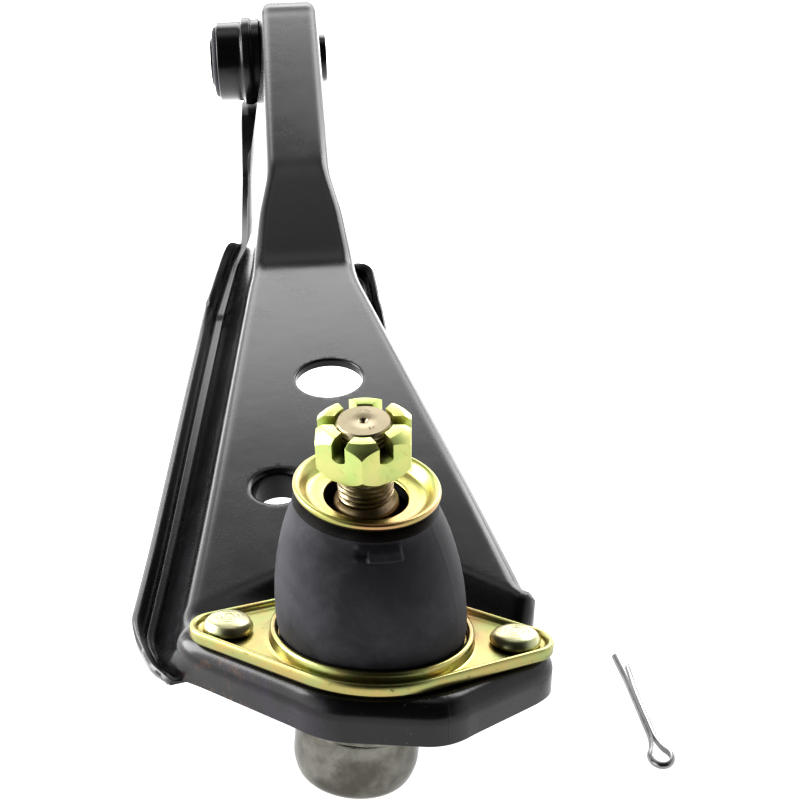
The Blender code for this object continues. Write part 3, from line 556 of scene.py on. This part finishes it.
def pressingSurface():
    stations = stationsAlong()
    share = np.linspace(0, 1, p["across"])[None, :]
    y = stations[:, None] + 0 * share
    x = bendLine(y, -1) * (1 - share) + bendLine(y, 1) * share
    side = np.where(share + 0 * y < 0.5, -1, 1)
    index = np.arange(x.size).reshape(x.shape)
    loop = np.concatenate([index[::-1, 0], index[0, 1:], index[1:, -1], index[-1, -2:0:-1]])
    edgeX, table = roundCorners(x.ravel()[loop], y.ravel()[loop])
    edgeY = sheared(edgeX, table)
    y = sheared(x, y)
    x.ravel()[loop], y.ravel()[loop] = edgeX, edgeY
    # the web's edge is drawn in so that the bend ends on the outline
    alongX = np.roll(edgeX, -1) - np.roll(edgeX, 1)
    alongY = np.roll(edgeY, -1) - np.roll(edgeY, 1)
    length = np.hypot(alongX, alongY)
    out = np.stack([alongY / length, -alongX / length, 0 * length], 1)
    out[loop == index[-1, 0]] = (-0.7, 0.7, 0)
    inset = p["bend"] * (1 - (webNormal(edgeX, edgeY) * out).sum(1))
    x.ravel()[loop] -= out[:, 0] * inset
    y.ravel()[loop] -= out[:, 1] * inset
    x[1:-1, 1:-1] = (x[1:-1, :1] * (1 - share) + x[1:-1, -1:] * share)[:, 1:-1]
    y[1:-1, 1:-1] = (y[1:-1, :1] * (1 - share) + y[1:-1, -1:] * share)[:, 1:-1]
    rows = np.stack([x, y, topHeight(x, y)], 2).reshape(-1, 3)
    normals = webNormal(x, y).reshape(-1, 3)
    # the bend, then the walls, ring by ring
    skin, facing = [rows], [normals]
    centre = rows[loop] - p["bend"] * normals[loop]
    for part in np.linspace(0, 1, 9)[1:] * math.pi / 2:
        leaning = unit(normals[loop] * math.cos(part) + out * math.sin(part))
        skin.append(centre + p["bend"] * leaning)
        facing.append(leaning)
    wallTop = skin[-1]
    section = cutCorners(wallSection(table, side.ravel()[loop], wallTop[:, 2]))
    step = np.gradient(section, axis=0)
    up = np.array([0, 0, 1.0])
    for k in range(1, len(section)):
        facing.append(unit(out * step[k, 1][:, None] + up * step[k, 0][:, None]))
        skin.append(wallTop + out * section[k, 0][:, None] - up * section[k, 1][:, None])
    forward = unit(out * step[-1, 0][:, None] - up * step[-1, 1][:, None])
    quads = [gridFaces(*x.shape)]
    inner = loop
    for k in range(len(skin) - 1):
        outer = x.size + k * len(loop) + np.arange(len(loop))
        quads.append(np.stack([inner, outer, np.roll(outer, -1), np.roll(inner, -1)], 1))
        inner = outer
    # the same again one sheet further in, and a rounded edge between the two
    points, facing = np.concatenate(skin), np.concatenate(facing)
    total = len(points)
    under = points - p["sheet"] * facing
    inward = -facing[-len(loop):]
    edge = points[-len(loop):] + inward * p["cutEdge"] + forward * 0.0002
    tip = edge + inward * p["sheet"] / 2 + forward * 0.0008
    points[-len(loop):] = edge
    under[-len(loop):] = edge + inward * (p["sheet"] - p["cutEdge"]) + forward * 0.0002
    bandQuads = []
    tipIndex = 2 * total + np.arange(len(loop))
    for first, second in ((inner, tipIndex), (tipIndex, inner + total)):
        bandQuads.append(np.stack([first, second, np.roll(second, -1), np.roll(first, -1)], 1))
    faces = np.concatenate(quads)
    faces = np.concatenate([faces, faces[:, ::-1] + total] + bandQuads)
    return np.concatenate([points, under, tip]), faces


arm = makePiece("arm_sheet", *pressingSurface(), blackPaint, None, sharp=50)


def cutterFrom(name, profile, place, steps=72):
    profile = np.array(profile)
    shape = placed(spun(profile[:, :1], profile[:, 1:], steps), place)
    quads = gridFaces(len(profile), steps, closeColumns=True)
    return makePiece(name, shape, quads, blackPaint, None)


def drum(radius, low, high):
    return [(0, low), (radius, low), (radius, high), (0, high)]


def flared(radius, soft, top=0.0, depth=0.012):
    # a hole with its top edge rolled over: it widens along a quarter circle to the surface
    turn = np.linspace(0, math.pi / 2, 7)
    roll = [(radius + soft * (1 - math.cos(a)), top - soft + soft * math.sin(a)) for a in turn]
    above = top + 0.010
    return [(0, -depth), (radius, -depth)] + roll + [(radius + soft, above), (0, above)]


def onWeb(x, y):
    x, y = np.float64(x), np.float64(y)
    normal = Vector(webNormal(x, y))
    turn = Vector((0, 0, 1)).rotation_difference(normal).to_matrix().to_4x4()
    return Matrix.Translation((x, y, float(topHeight(x, y)))) @ turn


rimLow, rimHigh = -rodHole["rimDepth"], -0.0012
rodRim = [(0, rimLow), (0.0094, rimLow), (0.0098, rimLow + 0.0004), (0.0102, rimHigh), (0, rimHigh)]
linkProfile = flared(linkHole["radius"], linkHole["soft"])
rodProfile = flared(rodHole["radius"], rodHole["soft"])
linkPlace, rodPlace = onWeb(*linkHole["place"]), onWeb(*rodHole["place"])
cutters = [
    (cutterFrom("cut_link", linkProfile, linkPlace), "DIFFERENCE"),
    (cutterFrom("cut_housing", drum(0.0185, -0.012, 0.012), padPlace), "DIFFERENCE"),
    (cutterFrom("rod_rim", rodRim, rodPlace), "UNION"),
    (cutterFrom("cut_rod", rodProfile, rodPlace), "DIFFERENCE"),
    (cutterFrom("cut_bush", drum(0.0198, -0.030, 0.030), bushPlace, 96), "DIFFERENCE"),
    (cutterFrom("cut_shoulder", drum(0.0219, -0.0245, -0.0149), bushPlace, 96), "DIFFERENCE"),
]


def applyCuts(piece, cuts):
    for cutter, operation in cuts:
        modifier = piece.modifiers.new(cutter.name, "BOOLEAN")
        modifier.operation = operation
        modifier.object = cutter
        modifier.solver = "MANIFOLD"
    bakeModifiers(piece)
    for cutter, operation in cuts:
        bpy.data.objects.remove(cutter)


applyCuts(arm, cutters)
shadeSmooth(arm.data, 50)
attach(arm, "arm")
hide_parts("arm_pressing")
print("pressing made", len(arm.data.polygons))

# bush

bush = {
    "bore": 0.0066, "sleeve": 0.0118, "sleeveEnds": (-0.0402, 0.0178), "shell": 0.0195,
    "wall": 0.0018, "shoulder": 0.0216, "shoulderSpan": (-0.0241, -0.0151),
    "shellEnds": (-0.0365, 0.0140), "rubberEnds": (-0.0391, 0.0145), "fit": 0.0002,
}
b = bush
sleeveLeft, sleeveRight = b["sleeveEnds"]
shellLeft, shellRight = b["shellEnds"]
shoulderLeft, shoulderRight = b["shoulderSpan"]
rubberLeft, rubberRight = b["rubberEnds"]
shellIn = b["shell"] - b["wall"]
sleeveProfile = [(b["bore"], sleeveLeft), (b["sleeve"], sleeveLeft), (b["sleeve"], sleeveRight),
                 (b["bore"], sleeveRight)]
shellProfile = [
    (shellIn, shellLeft), (b["shell"], shellLeft), (b["shell"], shoulderLeft - 0.0012),
    (b["shell"] + 0.0006, shoulderLeft), (b["shoulder"] - 0.0003, shoulderLeft),
    (b["shoulder"], shoulderLeft + 0.004), (b["shoulder"] - 0.0012, shoulderLeft + 0.0052),
    (b["shoulder"] - 0.0010, shoulderRight), (b["shell"], shoulderRight),
    (b["shell"], shellRight), (shellIn, shellRight),
]
rubberIn, rubberOut = b["sleeve"] + b["fit"], shellIn - 0.0003
rubberProfile = [
    (rubberIn, rubberLeft + 0.0020), (b["sleeve"] + 0.0022, rubberLeft),
    (shellIn - 0.0014, rubberLeft + 0.0004), (rubberOut, rubberLeft + 0.0016),
    (rubberOut, rubberRight), (rubberIn, rubberRight),
]
turnedPiece("bush_sleeve", roundOff(sleeveProfile, 0.0008), bushPlace, bushPaint, "pivot",
            ["pivot_sleeve"])
turnedPiece("bush_outer_shell", roundOff(shellProfile, 0.0009), bushPlace, bushPaint, "arm",
            ["bush_shell"], steps=160, sharp=60)
turnedPiece("bush_rubber_fill", roundOff(rubberProfile, 0.0012), bushPlace, bushRubber, "arm",
            ["bush_rubber"], sharp=60)
print("bush made")

# flange plate with its lip and collar

plate = {
    "bottom": 0.0047, "floor": 0.0067, "lip": 0.0018, "lipWall": 0.0018, "halfLength": 0.0485,
    "halfWidth": 0.0298, "tip": 0.0080, "collar": 0.0272, "collarHeight": 0.0036,
    "collarWall": 0.0018, "hole": 0.0173, "rays": 720, "crowding": 0.47,
}
q = plate


def plateCurve(angle, inset):
    # where a ray at this angle meets the hull of one large and two small circles, less the inset
    c, s = np.abs(np.cos(angle)), np.abs(np.sin(angle))
    tip = q["halfLength"] - q["tip"]
    big, small = q["halfWidth"] - inset, q["tip"] - inset
    lean = math.asin((q["halfWidth"] - q["tip"]) / tip)
    onLine = big / (s * math.cos(lean) + c * math.sin(lean))
    onTip = tip * c + np.sqrt(np.maximum(small**2 - (tip * s) ** 2, 0))
    lineX = onLine * c
    reach = np.where(lineX < big * math.sin(lean), big, onLine)
    reach = np.where(lineX > tip + small * math.sin(lean), onTip, reach)
    return np.stack([reach * np.cos(angle), reach * np.sin(angle)], -1)


def platePiece():
    angle = np.linspace(0, 2 * math.pi, q["rays"], endpoint=False)
    angle = angle - q["crowding"] * np.sin(2 * angle)  # more of the rays near the two tips
    circle = np.stack([np.cos(angle), np.sin(angle)], 1)
    bottom, floor, wall = q["bottom"], q["floor"], q["lipWall"]
    lipTop, top = floor + q["lip"], floor + q["collarHeight"]
    outer, inner, hole = q["collar"], q["collar"] - q["collarWall"], q["hole"]

    def level(curve, height):
        return np.insert(curve, 2, height, axis=1)

    lipSteps = [  # height and inset, up the outside of the lip and down its inside
        (bottom, 0.0012), (bottom + 0.0001, 0.0006), (bottom + 0.0009, 0), (lipTop - 0.0007, 0),
        (lipTop - 0.0002, 0.0002), (lipTop, 0.0006), (lipTop, wall - 0.0007),
        (lipTop - 0.0003, wall - 0.0002), (lipTop - 0.0008, wall), (floor + 0.0005, wall + 0.0002),
        (floor + 0.0001, wall + 0.0006), (floor, wall + 0.0010),
    ]
    collarSteps = [  # radius and height, up the outside of the collar, down its inside, to the hole
        (outer + 0.0007, floor), (outer + 0.0002, floor + 0.0002), (outer, floor + 0.0008),
        (outer, top - 0.0009), (outer - 0.0002, top - 0.0003), (outer - 0.0007, top),
        (inner + 0.0005, top), (inner + 0.0001, top - 0.0003), (inner, top - 0.0008),
        (inner, floor + 0.0006), (inner - 0.0005, floor), (hole + 0.0004, floor),
        (hole, floor - 0.0004),
    ]
    lipRings = [level(plateCurve(angle, inset), height) for height, inset in lipSteps]
    collarRings = [level(radius * circle, height) for radius, height in collarSteps]
    shares = np.linspace(0, 1, 8)[1:-1]
    between = [lipRings[-1] * (1 - share) + collarRings[0] * share for share in shares]
    rings = np.array([level(hole * circle, bottom)] + lipRings + between + collarRings)
    return placed(rings, padPlace), gridFaces(len(rings), len(angle), True, True)


makePiece("plate_pressing", *platePiece(), plateZinc, "arm", ["flange_plate"], sharp=45)

rivet = {
    "spacing": 0.0764, "head": 0.0069, "shank": 0.0045, "dome": 0.0036, "seat": 0.0070,
    "foot": 0.0011, "formed": 0.0055, "turn": 0.8, "wobble": 0.022,
}
r = rivet
flat = r["seat"] + r["dome"]
footProfile = [
    (0, r["foot"] - 0.0024), (r["formed"] * 0.75, r["foot"] - 0.0022),
    (r["formed"], r["foot"] - 0.0008), (r["formed"], r["foot"]), (r["shank"], r["foot"]),
    (r["shank"], r["seat"]),
]
headProfile = [
    (r["head"] - 0.0006, r["seat"]), (r["head"], r["seat"] + 0.0008),
    (r["head"] - 0.0004, r["seat"] + 0.0018), (r["head"] * 0.80, r["seat"] + 0.0030),
    (r["head"] * 0.62, flat - 0.0002), (r["head"] * 0.50, flat), (r["head"] * 0.46, flat - 0.0002),
    (r["head"] * 0.40, flat), (r["head"] * 0.30, flat), (r["head"] * 0.26, flat - 0.0002),
    (r["head"] * 0.20, flat), (0, flat - 0.0001),
]
for sideName, side in (("left", -1), ("right", 1)):
    place = padPlace @ Matrix.Translation((side * r["spacing"] / 2, 0, 0))
    place = place @ Matrix.Rotation(r["turn"] * side, 4, "Z")
    profile = roundOff(footProfile + headProfile, 0.0007, closed=False)
    turnedPiece("rivet_head_" + sideName, profile, place, rivetZinc, "arm", ["rivet_" + sideName],
                steps=96, closed=False, wobble=r["wobble"], sharp=60)
print("plate made")

# housing, stud, cup and nut

housing = {
    "radius": 0.0170, "wall": 0.0022, "depth": 0.0352, "lean": 2.5, "shift": (-0.0016, 0, 0),
    "flange": 0.0215, "flangeSpan": (0.0070, 0.0088), "floor": -0.0300,
}
h = housing
flangeLow, flangeHigh = h["flangeSpan"]
boreRadius = h["radius"] - h["wall"]
profile = [
    (0, -h["depth"]), (h["radius"] - 0.0065, -h["depth"]),
    (h["radius"] - 0.0018, -h["depth"] + 0.0022), (h["radius"], -h["depth"] + 0.0070),
    (h["radius"], -0.0168), (h["radius"] - 0.0002, -0.0160), (h["radius"], -0.0152),
    (h["radius"], flangeLow), (h["flange"], flangeLow), (h["flange"], flangeHigh),
    (boreRadius, flangeHigh), (boreRadius, -0.0265), (0.0118, h["floor"]), (0, h["floor"]),
]
housingPlace = Matrix.Translation(h["shift"]) @ padPlace
housingPlace = housingPlace @ Matrix.Rotation(math.radians(h["lean"]), 4, "Y")
turnedPiece("housing_body", roundOff(profile, 0.0022, 7, closed=False), housingPlace, housingSteel,
            "arm", ["ball_housing"], closed=False, sharp=50)

stud = {
    "ball": 0.0112, "neck": 0.0060, "collar": 0.0082, "thread": 0.0069, "top": 0.0782,
    "threadStart": 0.0565, "pitch": 0.0015, "grooveDepth": 0.00085, "dimple": 0.0011, "steps": 120,
}
s = stud


def studPiece():
    # a turned profile whose radius dips along a helix over the threaded length
    thread, start, top = s["thread"], s["threadStart"], s["top"]
    bow = np.radians(np.linspace(-58, 57.6, 24))
    ball = [(s["ball"] * math.cos(a), s["ball"] * math.sin(a)) for a in bow]
    low = [(s["neck"], 0.0096), (s["neck"], 0.0150), (s["collar"], 0.0260),
           (s["collar"], start - 0.0014), (thread, start)]
    heights = np.arange(start + 0.0003, top - 0.0012, 0.00018)
    threaded = np.stack([thread + 0 * heights, heights], 1)
    cap = [
        (thread - 0.0001, top - 0.0012), (thread - 0.0004, top - 0.0003), (thread - 0.0007, top),
        (thread * 0.55, top + 0.00002), (s["dimple"] * 1.2, top), (s["dimple"], top - 0.0001),
        (0.0002, top - 0.0012), (0, top - 0.0012),
    ]
    low = roundOff(low, 0.0012, closed=False)
    profile = np.concatenate([[(0, ball[0][1])], ball, low, threaded, cap])
    height = profile[:, 1:]
    turn = height / s["pitch"] - turnAngles(s["steps"])[None, :] / (2 * np.pi)
    phase = turn - np.floor(turn)
    groove = np.clip(np.abs(phase - 0.5) * 2.6 - 0.35, 0, 0.85) / 0.85
    inThread = eased((height - start) / 0.0012) * (1 - eased((height - top + 0.0020) / 0.0009))
    radius = profile[:, :1] - s["grooveDepth"] * groove * inThread
    points = placed(spun(radius, height, s["steps"]), studPlace)
    return points, gridFaces(len(profile), s["steps"], closeColumns=True)


makePiece("stud_body", *studPiece(), studZinc, "stud", ["ball_stud"], sharp=38)

cup = {"rim": 0.0184, "hole": 0.0104, "dish": 0.0030, "sheet": 0.0012}
c = cup
rim, dish = c["rim"], c["dish"]
profile = [
    (c["hole"], -c["sheet"]), (rim - 0.0048, -c["sheet"]), (rim - 0.0014, dish - 0.0022),
    (rim, dish - 0.0008), (rim - 0.0001, dish + 0.0003), (rim - 0.0009, dish + 0.0006),
    (rim - 0.0020, dish - 0.0002), (rim - 0.0034, 0.0006), (rim - 0.0050, 0),
    (c["hole"] + 0.0006, 0.0001), (c["hole"], -0.0003),
]
turnedPiece("cup_washer", roundOff(profile, 0.0010, 6), cupPlace, cupZinc, "cup", ["boot_cup"],
            steps=160, sharp=60)

nut = {
    "across": 0.0224, "height": 0.0112, "slot": 0.0036, "slotDepth": 0.0056, "bore": 0.0072,
    "edge": 0.0006, "past": 0.01, "slotReach": 0.02, "archShare": 0.55,
}
n = nut


def slotCutter(k):
    # a flat-sided slot with an arched floor, right across the nut
    half, low, high = n["slot"] / 2, s["top"] - n["slotDepth"], s["top"] + n["past"]
    arch = np.radians(np.linspace(180, 360, 13))
    rise = half * n["archShare"]
    outline = [(half * math.cos(a), low + rise + rise * math.sin(a)) for a in arch]
    outline = np.array(outline + [(half, high), (-half, high)])
    near, far = (np.insert(outline, 0, x, axis=1) for x in (-n["slotReach"], n["slotReach"]))
    caps = [np.tile(end.mean(0), (len(outline), 1)) for end in (near, far)]
    turn = Matrix.Rotation(math.radians(60 * k), 4, "Z")
    shape = placed(np.array([caps[0], near, far, caps[1]]), turn)
    quads = gridFaces(4, len(outline), closeColumns=True)
    return makePiece("nut_slot_%d" % k, shape, quads, nutZinc, None)


def nutPiece():
    top = s["top"]
    foot = top - n["height"]
    past = n["past"]
    angle = np.arange(6) * math.pi / 3 + math.pi / 6
    corner = n["across"] / math.sqrt(3)
    ring = np.stack([corner * np.cos(angle), corner * np.sin(angle)], 1)
    levels = ((0, foot), (1, foot), (1, top), (0, top))
    layers = np.array([np.insert(ring * k, 2, z, axis=1) for k, z in levels])
    quads = gridFaces(4, 6, closeColumns=True)
    body = makePiece("castle_nut_body", layers, quads, nutZinc, None, sharp=20)
    domed = [
        (0, foot - 0.001), (n["across"] / 2 - 0.0006, foot - 0.001),
        (n["across"] / 2 + 0.0002, foot), (corner + 0.0002, foot + 0.0022),
        (corner + 0.0002, top - 0.0030), (corner - 0.0010, top - 0.0014),
        (corner - 0.0026, top - 0.0003), (corner - 0.0040, top + 0.0006), (0, top + 0.0006),
    ]
    here = Matrix.Identity(4)
    dome = cutterFrom("nut_dome", roundOff(domed, 0.0012, closed=False), here, 96)
    hole = cutterFrom("nut_hole", drum(n["bore"], foot - past, top + past), here, 64)
    cuts = [(dome, "INTERSECT"), (hole, "DIFFERENCE")]
    applyCuts(body, cuts + [(slotCutter(k), "DIFFERENCE") for k in range(3)])
    # the flats are one face each again before their edges are rounded
    work = bmesh.new()
    work.from_mesh(body.data)
    bmesh.ops.remove_doubles(work, verts=work.verts, dist=2e-5)
    bmesh.ops.dissolve_limit(work, angle_limit=math.radians(0.5), verts=work.verts,
                             edges=work.edges)
    work.to_mesh(body.data)
    work.free()
    edges = body.modifiers.new("edges", "BEVEL")
    edges.width = n["edge"]
    edges.segments = 3
    edges.limit_method = "ANGLE"
    edges.angle_limit = math.radians(32)
    edges.use_clamp_overlap = True
    bakeModifiers(body)
    body.data.transform(studPlace)
    shadeSmooth(body.data, 35)
    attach(body, "nut")
    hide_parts("castle_nut")


nutPiece()
print("stud, cup and nut made")

# boot, as a lower and an upper part, each shaped between the pad and the cup

boot = {
    "foot": 0.0091, "lip": -0.0015, "wall": 0.0026, "split": 0.14, "settled": 0.60,
    "shares": [0, 0.06, 0.12, 0.28, 0.42, 0.56, 0.70, 0.80, 0.88, 0.95, 1.0],
    "radii": [0.0247, 0.0251, 0.0252, 0.0250, 0.0245, 0.0236, 0.0223, 0.0211, 0.0199, 0.0186,
              0.0181],
    "tabAngle": math.radians(-79), "tabHalf": 0.27, "tabShares": (0.875, 0.945), "tabOut": 0.0012,
    "seamAngle": 0.9, "seamHeight": 0.00012, "steps": 200, "rows": 90,
}
o = boot


def bootRadius(share, angle):
    # smooth fall from foot to lip, with the vent tab on the front and a shallow slot at its left
    wave = np.linspace(-0.04, 0.04, 9)
    base = sum(np.interp(share + w, o["shares"], o["radii"]) for w in wave) / len(wave)
    turn = (angle - o["tabAngle"] + math.pi) % (2 * math.pi) - math.pi
    low, high = o["tabShares"]
    wide = 1 - eased((np.abs(turn) - o["tabHalf"]) / 0.035)
    tall = eased((share - low) / 0.012) * (1 - eased((share - high) / 0.05))
    slot = 1 - eased((np.abs(turn + o["tabHalf"] - 0.05) - 0.06) / 0.03)
    slot = slot * eased((share - low - 0.012) / 0.01) * (1 - eased((share - high) / 0.02))
    seam = o["seamHeight"] * np.exp(-(((np.abs(turn - o["seamAngle"])) / 0.012) ** 2))
    return base + o["tabOut"] * wide * tall * (1.0 - 1.5 * slot) + seam


def bootPart(name, low, high):
    angle = turnAngles(o["steps"])
    shares = np.linspace(low, high, o["rows"])
    inner = np.interp(shares, o["shares"], o["radii"])[:, None] - o["wall"] + 0 * angle
    radius = [bootRadius(shares[:, None], angle[None, :])]
    share = [shares]
    if high == 1.0:
        lip = [[0.0172], [0.0150], [c["hole"] + 0.0003], [c["hole"] + 0.0001]]
        radius.append(np.array(lip) + 0 * angle)
        share.append(np.array([1.006, 1.006, 1.003, 0.955]))
    radius.append(inner[::-1][::6])
    share.append(np.minimum(shares[::-1][::6], 0.950))
    radius, share = np.concatenate(radius), np.concatenate(share)[:, None, None]
    atFoot = placed(spun(radius, o["foot"], o["steps"]), padPlace)
    atLip = placed(spun(radius, o["lip"], o["steps"]), cupPlace)
    points = atFoot * (1 - share) + atLip * share
    quads = gridFaces(len(points), o["steps"], closeRows=True, closeColumns=True)
    piece = makePiece(name, points, quads, bootRubber, None, sharp=50, slot="rubber")
    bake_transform(piece)
    return piece


bootPart("boot_lower", 0.0, o["split"])
upper = bootPart("boot_upper", o["split"], 1.0)
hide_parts("dust_boot")
print("boot made")

# cotter pin: half-round wire, its flat sides facing each other

pin = {
    "wire": 0.0012, "loop": 0.0029, "length": 0.0362, "longer": 0.0042, "neck": 0.0062,
    "gap": 0.00015, "place": (0.0915, -0.4040, -0.0719), "turn": 4.0,
}
w = pin


def pinPiece():
    # the wire's middle line runs down one leg, round the eye and back up the other
    gap, length, neck, wire = w["gap"], w["length"], w["neck"], w["wire"]
    legs = np.linspace(1, 0, 40)
    back = legs[::-1]
    firstX = -gap - 0.00072 * eased((legs - 0.6) / 0.6)
    firstY = length * legs + w["longer"] * legs + neck * (1 - legs)
    lastX = gap + 0.00096 * eased((back - 0.5) / 0.6)
    lastY = length * back + neck * (1 - back)
    around = np.radians(np.linspace(118, 422, 48))
    eye = np.stack([w["loop"] * 0.92 * np.cos(around), w["loop"] * np.sin(around)], 1)
    path = np.concatenate([np.stack([firstX, firstY], 1), eye, np.stack([lastX, lastY], 1)])
    for k in range(3):
        path[1:-1] = (path[:-2] + path[1:-1] * 2 + path[2:]) / 4
    along = np.gradient(path, axis=0)
    along /= np.linalg.norm(along, axis=1)[:, None]
    outward = np.stack([-along[:, 1], along[:, 0]], 1)
    angle = np.radians(np.linspace(-90, 90, 13))
    bow = np.stack([wire * np.cos(angle), wire * 0.95 * np.sin(angle)], 1)
    section = np.concatenate([bow, [(0.0001, 0.0006), (0.0001, -0.0006)]])
    ring = outward[:, None, :] * -section[None, :, :1]
    ring = [path[:, None, :] + ring, 0 * ring[..., :1] + section[None, :, 1:]]
    ring = np.concatenate(ring, 2)
    caps = np.repeat(ring[[0, -1]].mean(1, keepdims=True), ring.shape[1], 1)
    local = np.concatenate([caps[:1], ring, caps[1:]])
    place = Matrix.Translation(w["place"]) @ Matrix.Rotation(math.radians(w["turn"]), 4, "Z")
    return placed(local, place), gridFaces(len(local), len(section), closeColumns=True)


makePiece("pin_wire", *pinPiece(), pinSteel, "pin", ["cotter_pin"], sharp=45)
print("pin made")

# stage, light and camera

stage = {
    "floor": -0.0735, "half": 6.0, "ramp": (-0.45, 0.25), "dim": 0.62, "bright": 2.6,
    "camera": (-0.00115, -0.6438, 0.2077), "yaw": 4.86, "pitch": 32.88, "roll": -0.65,
    "sensor": 36, "lens": 1281 / 800 * 36,
}
g = stage
# painted light: the floor glows by itself, dim towards the camera and brighter towards the back, so
# the paint reflects it dark in front and bright behind
glowingFloorLook = Finish("floor glowing dim in front and bright behind", Roughness=0.9, Emission_Strength=1.0)
glowingFloorLook.shader.inputs["Base Color"].default_value = (0.5, 0.5, 0.5, 1)
glowing = glowingFloorLook.axes()[1].smooth(*g["ramp"])
lit = glowingFloorLook.mix(glowing, (g["dim"],) * 3, (g["bright"],) * 3)
glowingFloorLook.feed("Emission Color", lit)
corners = np.array([(-1, -1), (1, -1), (1, 1), (-1, 1)]) * g["half"]
floorPoints = np.insert(corners, 2, g["floor"], axis=1)
floor = makePiece("floor", floorPoints, np.array([[0, 1, 2, 3]]), glowingFloorLook.material, None)

# the studio's glow by direction: (from, to, strength)
sides = {
    "front": (-0.02, 0.36, 0.34), "above": (0.78, 0.97, 1.1), "band": (0.55, 0.95, 1.1),
    "left": (0.45, 0.95, 2.2), "right": (0.55, 1.0, 1.0),
}
dimmest = 0.03
world = bpy.data.worlds.new("studio")
bpy.context.scene.world = world
world.use_nodes = True
sky = world.node_tree
facing = sky.nodes.new("ShaderNodeSeparateXYZ")
sky.links.new(sky.nodes.new("ShaderNodeTexCoord").outputs["Generated"], facing.inputs[0])
aside, behind, above = (Wire(sky, facing.outputs[axis]) for axis in "XYZ")


def glowFrom(wire, side):
    low, high, strength = sides[side]
    return wire.smooth(low, high) * strength


overhead = glowFrom(above, "above") + sides["front"][2]
glow = behind.smooth(*sides["front"][:2]) * overhead + glowFrom(behind, "band")
glow = glow + glowFrom(aside * -1.0, "left") + glowFrom(aside, "right") + dimmest
sky.links.new(glow.socket, sky.nodes["Background"].inputs["Strength"])
sky.nodes["Background"].inputs["Color"].default_value = (1, 1, 1, 1)

lamps = {  # place, target, size and power
    "soft box behind": ((0.0, 0.95, 0.60), (0, -0.15, -0.03), (1.4, 0.5), 5),
    "soft box left": ((-0.95, -0.05, 0.45), (0, -0.25, -0.03), (0.6, 0.9), 12),
    "soft box right": ((0.75, 0.55, 0.55), (0, -0.25, -0.03), (0.5, 0.8), 6),
}
for name, (place, target, size, power) in lamps.items():
    data = bpy.data.lights.new(name, "AREA")
    data.shape = "RECTANGLE"
    data.size, data.size_y = size
    data.energy = power
    lamp = bpy.data.objects.new(name, data)
    lamp.location = place
    aim = Vector(target) - Vector(place)
    lamp.rotation_euler = aim.to_track_quat("-Z", "Y").to_euler()
    bpy.context.scene.collection.objects.link(lamp)

camera = bpy.data.cameras.new("camera")
camera.sensor_width = g["sensor"]
camera.lens = g["lens"]
cameraObject = bpy.data.objects.new("camera", camera)
yaw, pitch, roll = (math.radians(g[k]) for k in ("yaw", "pitch", "roll"))
level = math.cos(pitch)
forward = Vector((math.sin(yaw) * level, math.cos(yaw) * level, -math.sin(pitch)))
right = Vector((math.cos(yaw), -math.sin(yaw), 0))
up = right.cross(forward)
rightRolled = right * math.cos(roll) + up * math.sin(roll)
upRolled = up * math.cos(roll) - right * math.sin(roll)
turnMatrix = Matrix((rightRolled, upRolled, -forward)).transposed().to_4x4()
cameraObject.matrix_world = Matrix.Translation(g["camera"]) @ turnMatrix
bpy.context.scene.collection.objects.link(cameraObject)
bpy.context.scene.camera = cameraObject
bpy.context.scene.view_settings.view_transform = "Standard"
bpy.context.scene.view_settings.look = "High Contrast"

print("stage set")
